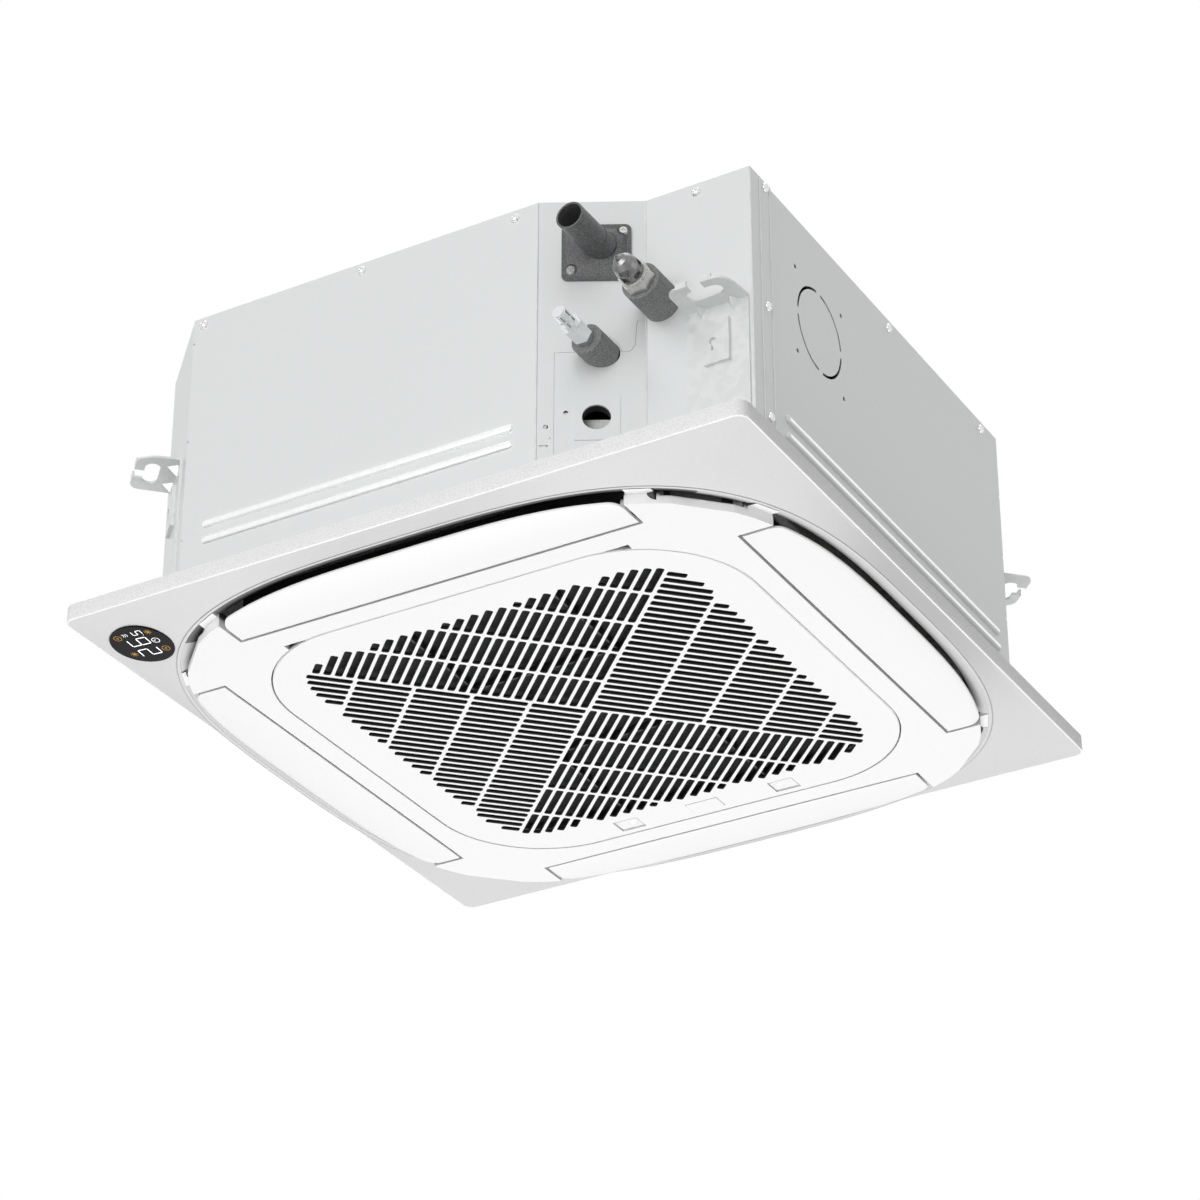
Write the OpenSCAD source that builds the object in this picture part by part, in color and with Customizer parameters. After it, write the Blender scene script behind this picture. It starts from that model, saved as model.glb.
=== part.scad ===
// Ceiling cassette air conditioner with four outlet flaps.
// Millimetres. +Z is up, z = 0 is the ceiling plane (top of the panel rim),
// the origin lies at the middle of the panel. The pipe corner is at +X -Y.

/* [Casing] */

// Distance from the panel's edge back to the casing's wall
body_in = 25; // [24:0.5:26]
// Height of the casing's top above the ceiling plane
body_top = 260; // [256:1:264]
// Height of the casing's lower edge above the ceiling plane
body_low = 18; // [18:1:19]
// Length cut from each square corner
corner_cut = 70; // [66:1:74]
// Sheet thickness
sheet = 1; // [0.8:0.1:1]
// Height by which pressed beads stand out
bead_rise = 1.5; // [1:0.1:2]
// Width of a pressed bead
bead_w = 6; // [5:0.5:7]
// Radius of the fresh-air knock-out
knock_r = 37.3; // [34:0.1:40]
// Side of the square of holes round the knock-out
knock_pitch = 80; // [78:1:82]
// Radius of the four holes round the knock-out
knock_hole_r = 2; // [1.5:0.1:2.5]
// Radius of a casing screw's head
screw_head_r = 4; // [3.5:0.1:4.3]

/* [Hangers] */

// Height of the hanger's flat plate
hanger_z = 138.6; // [134:0.2:142]
// Width of a hanger
hanger_w = 54; // [50:1:56]
// Reach of a hanger from the casing
hanger_reach = 36; // [34:0.5:38]
// Width of the hanger slot
slot_w = 12.5; // [11:0.5:13]
// Length of the hanger slot
slot_len = 31; // [28:1:32]

/* [Pipes] */

// Outer radius of the drain spigot
drain_r = 12; // [11:0.5:12.5]
// Outer radius of the gas line's insulation
gas_foam_r = 16.2; // [15:0.1:17]
// Outer radius of the liquid line's insulation
liquid_foam_r = 13.2; // [12:0.1:14]
// Radius of the cable inlet
cable_r = 11.2; // [10:0.1:11.6]

/* [Panel] */

// Half the width of the square panel
panel_half = 310; // [308:1:312]
// Corner radius of the panel
panel_corner = 10; // [6:1:14]
// Height of the panel's rim
rim_h = 14; // [13:0.5:14.5]
// Depth of the ring lip under the ceiling plane
lip_z = -23.5; // [-24:0.5:-23]
// Distance from the panel's edge to the ring lip
lip_in = 10; // [9:0.5:11]
// Exponent of the ring's rounded square
lip_n = 3.2; // [3.1:0.1:3.3]
// Depth of the grille's face under the ceiling plane
face_z = -32.5; // [-33:0.5:-32]
// Gap between the ring lip and the middle part
ring_gap = 12.5; // [12:0.5:13]
// Exponent of the middle part's rounded square
mid_n = 3.5; // [3.4:0.1:3.6]
// Distance from the middle part's edge to the lift-down grille
grille_in = 71.5; // [71:0.5:72.5]
// Corner radius of the grille
grille_corner = 100; // [90:1:110]

/* [Flaps] */

// Width of the frame between the grille and a flap
flap_gap = 23.5; // [23:0.1:23.8]
// Length by which a flap's end stops short of the middle part's edge
flap_short = 105.5; // [105:0.5:106.5]
// Thickness of a flap
flap_t = 2.2; // [2:0.1:2.4]

/* [Grille slots] */

// Spacing of the grille slots
slot_pitch = 9.38; // [9:0.02:9.8]
// Width of a grille slot
gslot_w = 6.5; // [5.4:0.1:6.6]
// Corner radius of a grille slot
gslot_r = 2; // [1.2:0.1:2.6]
// Spacing of the cross ribs
rib_pitch = 49; // [47:1:52]
// Width of the cross ribs
rib_w = 3.2; // [3:0.1:4]

/* [Fan] */

// Distance from the casing's wall to the turbo fan's rim
fan_in = 120; // [118:1:124]
// Number of fan blades
blades = 7; // [5:1:7]
// Radius of the fan shaft
shaft_r = 4; // [3.5:0.1:4.5]

/* [Hidden] */

$fn = 48;
// Overshoot of cutting tools
eps = 0.5;
// Gap between a loose pair of pieces on one body
seat = 0.1;
// Radial play of a running pin
play = 0.05;
// Points on a rounded-square outline
ring_steps = 96;

// Half widths that follow from the panel's
body_half = panel_half - body_in;
lip_half = panel_half - lip_in;
mid_half = lip_half - ring_gap;
grille_half = mid_half - grille_in;
flap_in = grille_half + flap_gap;
flap_half = mid_half - flap_short;
coil_half = body_half - 50;
fan_r = body_half - fan_in;
// Corner reach and corner radius of the middle part's inner wall, and the screw lugs' place
bay_in = grille_half + 21;
bay_reach = super_r(45, lip_half - 16, lip_n) - 13.1;
bay_corner = (bay_in * sqrt(2) - bay_reach) / (sqrt(2) - 1);
lug_at = (bay_reach - 20.4) / sqrt(2);

// Sizes shared by the middle part, its flaps and the grille
plate_t = 2.5;
bay_half = flap_half + 3;
open_gap = 1.3;
open_half = grille_half + open_gap;
pivot_y = mid_half - 32.2;
pivot_z = face_z + 8.3;
pin_r = 2.4;
hinge_y = 4 - grille_half;
hinge_z = face_z + 3.4;
hinge_pin_r = 1.5;
hinge_x = grille_half - 96;
latch_x = 76;
latch_y = grille_half - 16;
window = [23, 18];
box_lo = [-60, 3 - grille_half, -14];
box_size = [210, 39, body_low - box_lo[2]];
bell_screw_at = 0.764 * fan_r;

// Outline of the casing seen from above, anticlockwise
inner_len = body_half - corner_cut;
hang_y = 40.5 - body_half;
pipe_a = [body_half - 167.5, -body_half];
pipe_b = [body_half - 92.5, hang_y];
outline = [[-inner_len, -body_half], pipe_a, pipe_b, [body_half, hang_y],
    [body_half, inner_len], [inner_len, body_half], [-inner_len, body_half],
    [-body_half, inner_len], [-body_half, -inner_len]];
// Angle and length of the slanted pipe face
pipe_ang = atan2(pipe_b[1] - pipe_a[1], pipe_b[0] - pipe_a[0]);
pipe_len = norm(pipe_b - pipe_a);

// Heights used by several pieces
pan_top = body_low + 44;
trough_z = pan_top - 10;
coil_top = body_top - 10;
foam_top = body_top - sheet - seat;
bell_z = body_low + 0.5;
neck_top = body_low - 3;
screw_z = body_top - 8;

// Pipe places
drain_x = body_half - 121;
drain_z = body_top - 47.5;
gas_x = body_half - 78;
gas_z = 156.5;
liquid_x = body_half - 123.7;
liquid_z = 115.7;
cable_s = 46.4;
cable_z = 56.7;

// Radius of a casing screw's shank, and of its hole
screw_r = 1.95;
screw_hole_r = screw_r + play;
// Radius of an M6 shank, and of its hole
m6_r = 3;
m6_hole_r = m6_r + play;

function unit(v) = v / norm(v);
function left_n(a, b) = [-(unit(b - a))[1], (unit(b - a))[0]];
function miter(n1, n2, d) = d * (n1 + n2) / (1 + n1 * n2);
function closed_inset(p, d) = [for (i = [0 : len(p) - 1])
    let (a = p[(i + len(p) - 1) % len(p)], b = p[i], c = p[(i + 1) % len(p)])
    b + miter(left_n(a, b), left_n(b, c), d)];
function open_inset(p, d) = [for (i = [0 : len(p) - 1])
    let (k = len(p) - 1,
        n1 = i > 0 ? left_n(p[i - 1], p[i]) : left_n(p[0], p[1]),
        n2 = i < k ? left_n(p[i], p[i + 1]) : left_n(p[k - 1], p[k]))
    p[i] + miter(n1, n2, d)];
function reversed(p) = [for (i = [len(p) - 1 : -1 : 0]) p[i]];
function ribbon(p, t) = concat(p, reversed(open_inset(p, t)));
function super_r(a, h, n) = h / pow(pow(abs(cos(a)), n) + pow(abs(sin(a)), n), 1 / n);
function super_pts(h, n) = [for (i = [0 : ring_steps - 1])
    let (a = 360 * i / ring_steps) super_r(a, h, n) * [cos(a), sin(a)]];
// Distance from the middle of a rounded-square edge at offset x along a side
function super_y(x, h, n) = pow(pow(h, n) - pow(abs(x), n), 1 / n);

// A slab with the plan of a rounded square of exponent n
module super_slab(h, n, z0, z1) {
    translate([0, 0, z0]) linear_extrude(z1 - z0) polygon(super_pts(h, n));
}

// A slope between two rounded squares
module super_loft(h0, z0, h1, z1, n) {
    hull() {
        super_slab(h0, n, z0, z0 + 0.01);
        super_slab(h1, n, z1 - 0.01, z1);
    }
}

// A square with true round corners, half width h and corner radius r
module round_square(h, r) {
    square([2 * h, 2 * (h - r)], center = true);
    square([2 * (h - r), 2 * h], center = true);
    for (x = [-1, 1], y = [-1, 1]) translate([x * (h - r), y * (h - r)]) circle(r);
}

module round_rect(w, h, r) {
    square([w, h - 2 * r], center = true);
    square([w - 2 * r, h], center = true);
    for (x = [-1, 1], y = [-1, 1]) translate([x * (w / 2 - r), y * (h / 2 - r)]) circle(r);
}

// A bar with round ends from a to b
module stadium(a, b, w) {
    translate(a) circle(w / 2);
    translate(b) circle(w / 2);
    translate(a) rotate(atan2(b[1] - a[1], b[0] - a[0]))
        translate([0, -w / 2]) square([norm(b - a), w]);
}

// Frames of the faces: local x runs along the face, local y up, local z outward
module on_front(y = -body_half) {
    translate([0, y, 0]) rotate([90, 0, 0]) children();
}
module on_right(x = body_half) {
    translate([x, 0, 0]) rotate([90, 0, 90]) children();
}
module on_pipe_face(out = 0) {
    translate([pipe_a[0], pipe_a[1], 0]) rotate([90, 0, pipe_ang])
        translate([0, 0, out]) children();
}

// Casing screws: [x, y, z, turn of the outward direction, gap under the head]
case_screws = concat(
    [for (x = [9.2 - inner_len, -49.6, body_half - 189.2]) [x, -body_half, screw_z + 0.4, -90]],
    [for (y = [2.7, body_half - 102.3]) [body_half, y, screw_z, 0]],
    [for (x = [-1, 0, 1]) [x * (body_half - 105), body_half, screw_z, 90]],
    [for (y = [-1, 0, 1]) [-body_half, y * (body_half - 105), screw_z, 180]],
    [for (z = [body_top - 5.2, 141.4, 39.8]) [body_half + sheet, hang_y + 25.5, z, 0]],
    [[body_half - 47, hang_y, screw_z, -90]]);

module at_screw(s) {
    translate([s[0], s[1], s[2]]) rotate([0, 90, s[3]]) children();
}
// Holes of the screws through sheet, foam and pan
module screw_holes(r) {
    for (s = case_screws) at_screw(s) translate([0, 0, -10]) cylinder(r = r, h = 12, $fn = 24);
}

// Side of the small nicks in the casing's corners, and the knock-out's place
nick = 2.6;
knock_y = 156.9 - body_half;
knock_z = body_top - 89;

// Folded sheet of the casing with beads, nicks and the knock-out
module casing_shell() {
    wall = [[body_half, hang_y + sheet + seat], [body_half, inner_len], [inner_len, body_half],
        [-inner_len, body_half], [-body_half, inner_len], [-body_half, -inner_len],
        [-inner_len, -body_half], [pipe_a[0] - 1, -body_half]];
    color([0.78, 0.8, 0.8]) {
        difference() {
            union() {
                translate([0, 0, body_low]) linear_extrude(body_top - body_low)
                    polygon(ribbon(wall, sheet));
                on_front() translate([0, 0, -sheet / 2]) linear_extrude(bead_rise + sheet / 2) {
                    for (z = [54.8, 39.8])
                        stadium([94 - body_half, z], [body_half - 192, z], bead_w);
                }
                on_right() translate([0, 0, -sheet / 2]) linear_extrude(bead_rise + sheet / 2) {
                    for (z = [55.2, 40.2])
                        stadium([96.5 - body_half, z], [body_half - 93, z], bead_w);
                }
            }
            screw_holes(screw_hole_r);
            for (z = [body_top - 24.4, 139.8, 46]) translate([-inner_len, -body_half, z])
                cube(nick, center = true);
            for (z = [body_top - 60.2, 139.5, 78.7]) translate([body_half, inner_len, z])
                cube(nick, center = true);
            translate([body_half - 2, knock_y, knock_z]) rotate([0, 90, 0])
                for (a = [0 : 90 : 270]) rotate([0, 0, a + 5])
                    rotate_extrude(angle = 80, $fn = 96) translate([knock_r - 1.2, 0]) square([2.5, 4]);
            for (y = [-1, 1], z = [-1, 1])
                translate([body_half - 3, knock_y + y * knock_pitch / 2, knock_z + z * knock_pitch / 2])
                    rotate([0, 90, 0]) cylinder(r = knock_hole_r, h = 6);
        }
    }
}

// Drain socket: middle of its plate in the pipe face, its screws and the hole behind it
socket_mid = [46.3, drain_z - 2.5];
socket_screws = [[-20, -17.5], [21.2, 19.5]];
socket_hole = [30, 24];

// Separate sheet over the slanted corner, screwed to the +X wall
module corner_panel() {
    path = [pipe_a, pipe_b, [body_half + sheet, hang_y], [body_half + sheet, hang_y + 33]];
    color([0.72, 0.74, 0.73]) difference() {
        union() {
            translate([0, 0, body_low]) linear_extrude(body_top - body_low)
                polygon(ribbon(path, sheet));
            translate([body_half + sheet, hang_y + 15.7, body_low + 6])
                cylinder(r = 0.8, h = body_top - body_low - 17);
        }
        screw_holes(screw_hole_r);
        on_pipe_face(-4) linear_extrude(8) {
            cover_outline(0);
            translate(socket_mid) square(socket_hole, center = true);
            for (p = socket_screws) translate(socket_mid + p) circle(screw_hole_r);
            translate([7.3, 48.7]) circle(2);
            stadium([3, 31.5], [8.4, 31.5], 1.6);
            translate([10.8, 38.3]) circle(0.8);
        }
        translate([gas_x, hang_y + 4, gas_z]) rotate([90, 0, 0]) cylinder(r = gas_foam_r, h = 8);
    }
}

// Outline of the lift-off pipe cover in the pipe face, made smaller by d
cover = [[13.5, 117], [72, 117], [78.5, 146]];
module cover_outline(d) {
    far = pipe_len - 0.6;
    polygon([[cover[0][0] + d, body_low + 3 + d], [far - d, body_low + 3 + d], [far - d, cover[2][1] - d],
        [cover[2][0] + d, cover[2][1] - d], [cover[2][0] - 1 + d, cover[2][1] - 5 - d],
        [cover[2][0] - 2.4 + d, cover[1][1] + 5 - d], [cover[1][0] + d, cover[1][1] - d],
        [cover[0][0] + d, cover[0][1] - d]]);
    translate([cover_s, liquid_z]) circle(liquid_foam_r + 3 - d);
}
cover_s = 49.7;

module pipe_cover() {
    color([0.7, 0.72, 0.71]) difference() {
        on_pipe_face(-sheet) linear_extrude(sheet) difference() {
            cover_outline(0.25);
            translate([cable_s, cable_z]) circle(cable_r);
            translate([22.8, 61.3]) circle(2);
        }
        translate([liquid_x, hang_y + 5, liquid_z]) rotate([90, 0, 0])
            cylinder(r = liquid_foam_r, h = 45);
        screw_holes(screw_hole_r);
    }
    color([0.7, 0.72, 0.71]) on_pipe_face(-2 * sheet) linear_extrude(sheet)
        for (x = [9, pipe_len - 11]) translate([x, hanger_z0 + 4]) square([6, 86]);
}

// Raised plate round the cable inlet
module cable_plate() {
    color([0.76, 0.78, 0.77]) on_pipe_face(0) linear_extrude(0.8) difference() {
        translate([46.7, 56.4]) round_rect(36, 40.8, 1);
        translate([cable_s, cable_z]) circle(cable_r);
    }
}

// Rubber bush and backing behind the cable inlet
module cable_bush() {
    color([0.12, 0.12, 0.12]) on_pipe_face(-9) difference() {
        union() {
            linear_extrude(8) translate([cable_s, cable_z]) circle(cable_r + 2.5);
            linear_extrude(2) translate([cable_s, cable_z]) circle(cable_r + 5);
        }
        translate([cable_s, cable_z, -1]) cylinder(r = cable_r, h = 11);
    }
}

// Top sheet with a pressed dish for the motor
dish_r = 0.545 * fan_r;
module top_plate() {
    edge = sheet + seat;
    color([0.74, 0.76, 0.75]) difference() {
        union() {
            translate([0, 0, body_top - sheet]) linear_extrude(sheet) difference() {
                polygon(closed_inset(outline, edge));
                circle(dish_r - 2, $fn = 96);
            }
            translate([0, 0, body_top - 16]) linear_extrude(16 - eps) difference() {
                polygon(closed_inset(outline, edge));
                polygon(closed_inset(outline, edge + sheet));
            }
            translate([0, 0, body_top]) rotate_extrude($fn = 96) polygon([[0, -6], [0, -5],
                [dish_r - 7, -5], [dish_r - 3, 0], [dish_r, 0], [dish_r, -1], [dish_r - 2.4, -1],
                [dish_r - 6.4, -6]]);
        }
        screw_holes(screw_hole_r);
        motor_bolt_holes(m6_hole_r);
    }
}

// Places of the four hangers: [x, y, turn of the outward direction]
hang_d = body_half - corner_cut / 2;
hangers_at = [[body_half - 29, hang_y, -90], [-hang_d, -hang_d, -135], [hang_d, hang_d, 45],
    [-hang_d, hang_d, 135]];
hanger_z0 = body_low + 2;
hanger_t = 1.9;

module at_hanger(h) {
    translate([h[0], h[1], 0]) rotate([0, 0, h[2] + 90]) children();
}

// L bracket with an open slot, raised boss and turned-up lips
module hanger() {
    half = hanger_w / 2;
    t = hanger_t;
    round_r = 8;
    hook = [-9, 3];
    lip_w = 9.4;
    bend = hook[1] + lip_w;
    boss = [22, 38.6];
    boss_z = hanger_z - 55.3;
    difference() {
        union() {
            translate([-half, -t, hanger_z0]) cube([hanger_w, t, hanger_z - hanger_z0]);
            translate([0, 0, hanger_z - t]) linear_extrude(t) difference() {
                union() {
                    translate([-half, round_r - hanger_reach]) square([half + bend, hanger_reach - round_r]);
                    translate([round_r - half, -hanger_reach]) square([half + bend - round_r, round_r + 2]);
                    translate([round_r - half, round_r - hanger_reach]) circle(round_r);
                    polygon(concat([[bend - 1, -0.1], [half, -0.1]], [for (a = [0 : 7.5 : 90])
                        [bend + (half - bend) * pow(cos(a), 0.7), -t - (hanger_reach - t) * pow(sin(a), 0.8)]],
                        [[bend - 1, -hanger_reach]]));
                }
                stadium([-(slot_len - slot_w) / 2, slot_y], [(slot_len - slot_w) / 2, slot_y], slot_w);
                translate([hook[0], -hanger_reach - 1]) square([hook[1] - hook[0], hanger_reach + slot_y + 1]);
            }
            for (x = [hook[0] - lip_w, hook[1]]) translate([x, -hanger_reach, hanger_z - t])
                cube([lip_w, t, 6]);
            translate([-boss[0] / 2, -t - 3, boss_z]) cube([boss[0], 3.5, boss[1]]);
            for (x = [-1, 1]) translate([x * 14, -t, hanger_z - t]) polyhedron(
                points = [[-5, 0.5, 0.5], [5, 0.5, 0.5], [0, 0.5, -9], [0, -9, 0.5]],
                faces = [[0, 2, 1], [0, 3, 2], [1, 2, 3], [0, 1, 3]]);
        }
        translate([-3, -12, boss_z + 20.1]) rotate([-90, 0, 0]) cylinder(r = 3.2, h = 9.5);
        translate([-4.4, -12, boss_z + 11.7]) cube([2.8, 9.5, 8]);
        translate([half - 10, -5, hanger_z0 - 1]) rotate([0, 45, 0]) cube([30, 10, 14]);
    }
}
slot_y = -21.5;

module hangers() {
    color([0.76, 0.77, 0.76]) for (h = hangers_at) at_hanger(h) hanger();
}

// One casing screw standing along local z with its head's underside at z = 0
module case_screw(len) {
    difference() {
        union() {
            cylinder(r1 = screw_head_r, r2 = screw_head_r - 1, h = 2.2, $fn = 32);
            translate([0, 0, -len]) cylinder(r = screw_r, h = len + 0.5, $fn = 24);
        }
        for (a = [0, 90]) rotate([0, 0, a]) translate([-2, -0.4, 1.2]) cube([4, 0.8, 2]);
    }
}

module casing_screws() {
    color([0.8, 0.8, 0.78]) for (s = case_screws) at_screw(s) case_screw(8);
}

// Region of the pipe corner kept clear of foam and coil, beyond inner corner (x, y)
module pipe_corner(x, y, z0, z1) {
    translate([x, -400, z0]) cube([400 - x, 400 + y, z1 - z0]);
}

// Foam lining of the walls: gap to the sheet, thickness, and room round screw tips
foam_gap = 2.3;
foam_t = 9.2;
screw_room_r = 3;

module foam_liner() {
    color([0.25, 0.25, 0.26]) difference() {
        translate([0, 0, pan_top]) linear_extrude(coil_top - pan_top) difference() {
            polygon(closed_inset(outline, foam_gap));
            polygon(closed_inset(outline, foam_gap + foam_t));
        }
        pipe_corner(body_half - 185, 200 - body_half, 0, 400);
        screw_holes(screw_room_r);
    }
}

// Foam sheet between coil and top plate
module top_foam() {
    color([0.3, 0.3, 0.31]) difference() {
        translate([0, 0, coil_top]) linear_extrude(foam_top - coil_top) difference() {
            polygon(closed_inset(outline, foam_gap));
            circle(dish_r + 2, $fn = 96);
        }
        screw_holes(screw_room_r);
    }
}

// Finned heat exchanger bent round the fan, with its two ends at the pipe corner
coil_t = 26;
coil_corner = 70;
coil_x = body_half - 189;
coil_y = body_half - 135;
header_x = gas_x + 2;
header_y = 110 - body_half;
feed_y = 13 - coil_half;

module coil_block() {
    color([0.75, 0.77, 0.78]) difference() {
        translate([0, 0, trough_z]) linear_extrude(coil_top - trough_z) difference() {
            round_square(coil_half, coil_corner);
            round_square(coil_half - coil_t, coil_corner - coil_t);
        }
        pipe_corner(coil_x, -coil_y, 0, 400);
    }
}

module coil_plates() {
    color([0.7, 0.7, 0.7]) {
        translate([coil_x, -coil_half - 3, trough_z]) cube([2, coil_t + 6, coil_top - trough_z]);
        translate([coil_half - coil_t - 3, -coil_y - 2, trough_z]) cube([coil_t + 6, 2, coil_top - trough_z]);
    }
}

header_pitch = (coil_top - 110) / 5;

// One copper return bend bulging along local x, legs at z = +-10
module return_bend() {
    rotate([90, 0, 0]) rotate([0, 0, -90]) rotate_extrude(angle = 180, $fn = 48)
        translate([10, 0]) circle(3.5, $fn = 24);
}

module coil_bends() {
    color([0.72, 0.45, 0.3]) {
        for (z = [76, 150, coil_top - 66, coil_top - 32]) translate([coil_x + 2, feed_y, z]) return_bend();
        for (i = [0 : 5]) translate([coil_half - 7, -coil_y - 2, 76 + i * header_pitch]) rotate([0, 0, -90])
            return_bend();
    }
}

// A round bar along -Y from y0 to y1 (y1 < y0)
module bar_y(x, z, y0, y1, r) {
    translate([x, y0, z]) rotate([90, 0, 0]) cylinder(r = r, h = y0 - y1);
}

// Gas and liquid tubes: outer radii, ends of their foam and the cap's seat
gas_tube_r = 6.35;
liquid_tube_r = 4.8;
gas_foam_len = 35.5;
gas_nut_h = 10.5;
gas_end = gas_foam_len + gas_nut_h;
gas_cap_y = hang_y - gas_end - 3.5;
liquid_nut_y = hang_y - 39.5;

// Gas line: suction tube, header and stubs brazed together
module gas_pipe() {
    color([0.72, 0.45, 0.3]) difference() {
        union() {
            bar_y(gas_x, gas_z, header_y, hang_y - gas_end - 3, gas_tube_r);
            translate([header_x, header_y, 74]) cylinder(r = 8, h = 5.4 * header_pitch);
            for (i = [0 : 4]) bar_y(header_x + 4, 90 + i * header_pitch, -coil_y - 2, header_y, 3);
        }
        bar_y(gas_x, gas_z, header_y, hang_y - gas_end - 14, gas_tube_r - 1);
    }
}

module gas_insulation() {
    color([0.42, 0.43, 0.43]) difference() {
        bar_y(gas_x, gas_z, hang_y + 2.5, hang_y - gas_foam_len, gas_foam_r - seat);
        bar_y(gas_x, gas_z, hang_y + 4, hang_y - gas_foam_len - 9, gas_tube_r + play);
    }
}

module gas_nut() {
    color([0.62, 0.6, 0.55]) difference() {
        union() {
            translate([gas_x, hang_y - gas_foam_len, gas_z]) rotate([90, 0, 0])
                cylinder(r = 14, h = gas_nut_h, $fn = 6);
            bar_y(gas_x, gas_z, hang_y - gas_end, gas_cap_y, 11.6);
        }
        bar_y(gas_x, gas_z, hang_y - gas_foam_len + 1, hang_y - gas_end - 10, gas_tube_r + play);
    }
}

// Domed brass cap with flat hollows round its side
module gas_cap() {
    color([0.35, 0.34, 0.32]) difference() {
        translate([gas_x, gas_cap_y, gas_z]) rotate([90, 0, 0]) rotate_extrude() polygon([[0, 0],
            [10.6, 0], [10.4, 8], [9, 14], [5.6, 18.6], [2.4, 20], [1.8, 23.5], [0, 23.5]]);
        for (a = [15 : 60 : 315]) translate([gas_x, gas_cap_y - 3, gas_z]) rotate([0, a, 0])
            rotate([-12, 0, 0]) translate([-3.2, -16, 8.6]) cube([6.4, 16, 4]);
        bar_y(gas_x, gas_z, gas_cap_y - 22, gas_cap_y - 25, 0.7);
    }
}

// Liquid line: tube, distributor and feeders
module liquid_pipe() {
    color([0.72, 0.45, 0.3]) difference() {
        union() {
            bar_y(liquid_x, liquid_z, feed_y, liquid_nut_y - 6.8, liquid_tube_r);
            translate([liquid_x, feed_y, 100]) cylinder(r = 9, h = 30);
            for (z = [105, 115, 125]) translate([coil_x + 2, feed_y, z]) rotate([0, 90, 0])
                cylinder(r = 2, h = liquid_x - coil_x - 4);
        }
        bar_y(liquid_x, liquid_z, feed_y, liquid_nut_y - 8, liquid_tube_r - 0.8);
    }
}

module liquid_insulation() {
    color([0.42, 0.43, 0.43]) difference() {
        bar_y(liquid_x, liquid_z, hang_y - 11.5, liquid_nut_y, liquid_foam_r - seat);
        bar_y(liquid_x, liquid_z, hang_y - 5.5, liquid_nut_y - 6, liquid_tube_r + play);
    }
}

module liquid_nut() {
    color([0.6, 0.57, 0.5]) difference() {
        union() {
            bar_y(liquid_x, liquid_z, liquid_nut_y, liquid_nut_y - 7.5, 6.5);
            translate([liquid_x, liquid_nut_y - 7, liquid_z]) rotate([90, 0, 0])
                cylinder(r = 9, h = 17, $fn = 6);
        }
        bar_y(liquid_x, liquid_z, liquid_nut_y + 1, liquid_nut_y - 25, liquid_tube_r + play);
    }
}

// Stepped plug in the liquid line's nut: [start, end, radius] along the line
module liquid_plug() {
    color([0.75, 0.73, 0.7]) for (p = [[8, 24, liquid_tube_r], [24, 43, 4.6], [24, 32, 5.8], [35, 42, 5.8]])
        bar_y(liquid_x, liquid_z, liquid_nut_y - p[0], liquid_nut_y - p[1], p[2]);
}

// Drain socket: screwed plate with a shallow pyramid, spigot and inner nipple
module drain_flange() {
    color([0.3, 0.31, 0.31]) difference() {
        union() {
            on_pipe_face(0) translate([socket_mid[0], socket_mid[1], 0]) {
                linear_extrude(2) round_rect(55, 53, 5);
                hull() {
                    translate([0, 0, 1.9]) linear_extrude(0.1) round_rect(48, 46, 3);
                    translate([5.5, 2.5, 0]) cylinder(r = drain_r + 2, h = 7, $fn = 32);
                }
            }
            on_pipe_face(-2) translate([socket_mid[0], socket_mid[1], 0]) linear_extrude(2.5)
                square([socket_hole[0] - 2 * seat, socket_hole[1] - 2 * seat], center = true);
            bar_y(drain_x, drain_z, hang_y - 20, hang_y - 33.5, drain_r + 0.5);
            bar_y(drain_x, drain_z, hang_y - 33, hang_y - 70.5, drain_r);
            bar_y(drain_x, drain_z, hang_y + 1.5, hang_y - 21.5, nipple_r);
        }
        bar_y(drain_x, drain_z, hang_y - 23.5, hang_y - 80, drain_r - 1.6);
        bar_y(drain_x, drain_z, hang_y + 5, hang_y - 25.5, nipple_r - 1.5);
        for (p = socket_screws) on_pipe_face(-8) translate([socket_mid[0] + p[0], socket_mid[1] + p[1], 0]) {
            cylinder(r = screw_hole_r + seat / 2, h = 30);
            translate([0, 0, 10]) cylinder(r = screw_head_r + 1.2, h = 12);
        }
    }
}
nipple_r = 6.5;

module drain_screws() {
    color([0.8, 0.8, 0.78]) for (p = socket_screws)
        on_pipe_face(2) translate([socket_mid[0] + p[0], socket_mid[1] + p[1], 0]) case_screw(6);
}

// Air slots of the pan: half length, shorter end at the pipe corner, distances in and out
duct_half = bay_half;
duct_short = duct_half - 80;
duct_in = coil_half + 8;
duct_w = body_half - 16 - duct_in;
pan_hole_r = fan_r - 15;

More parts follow.
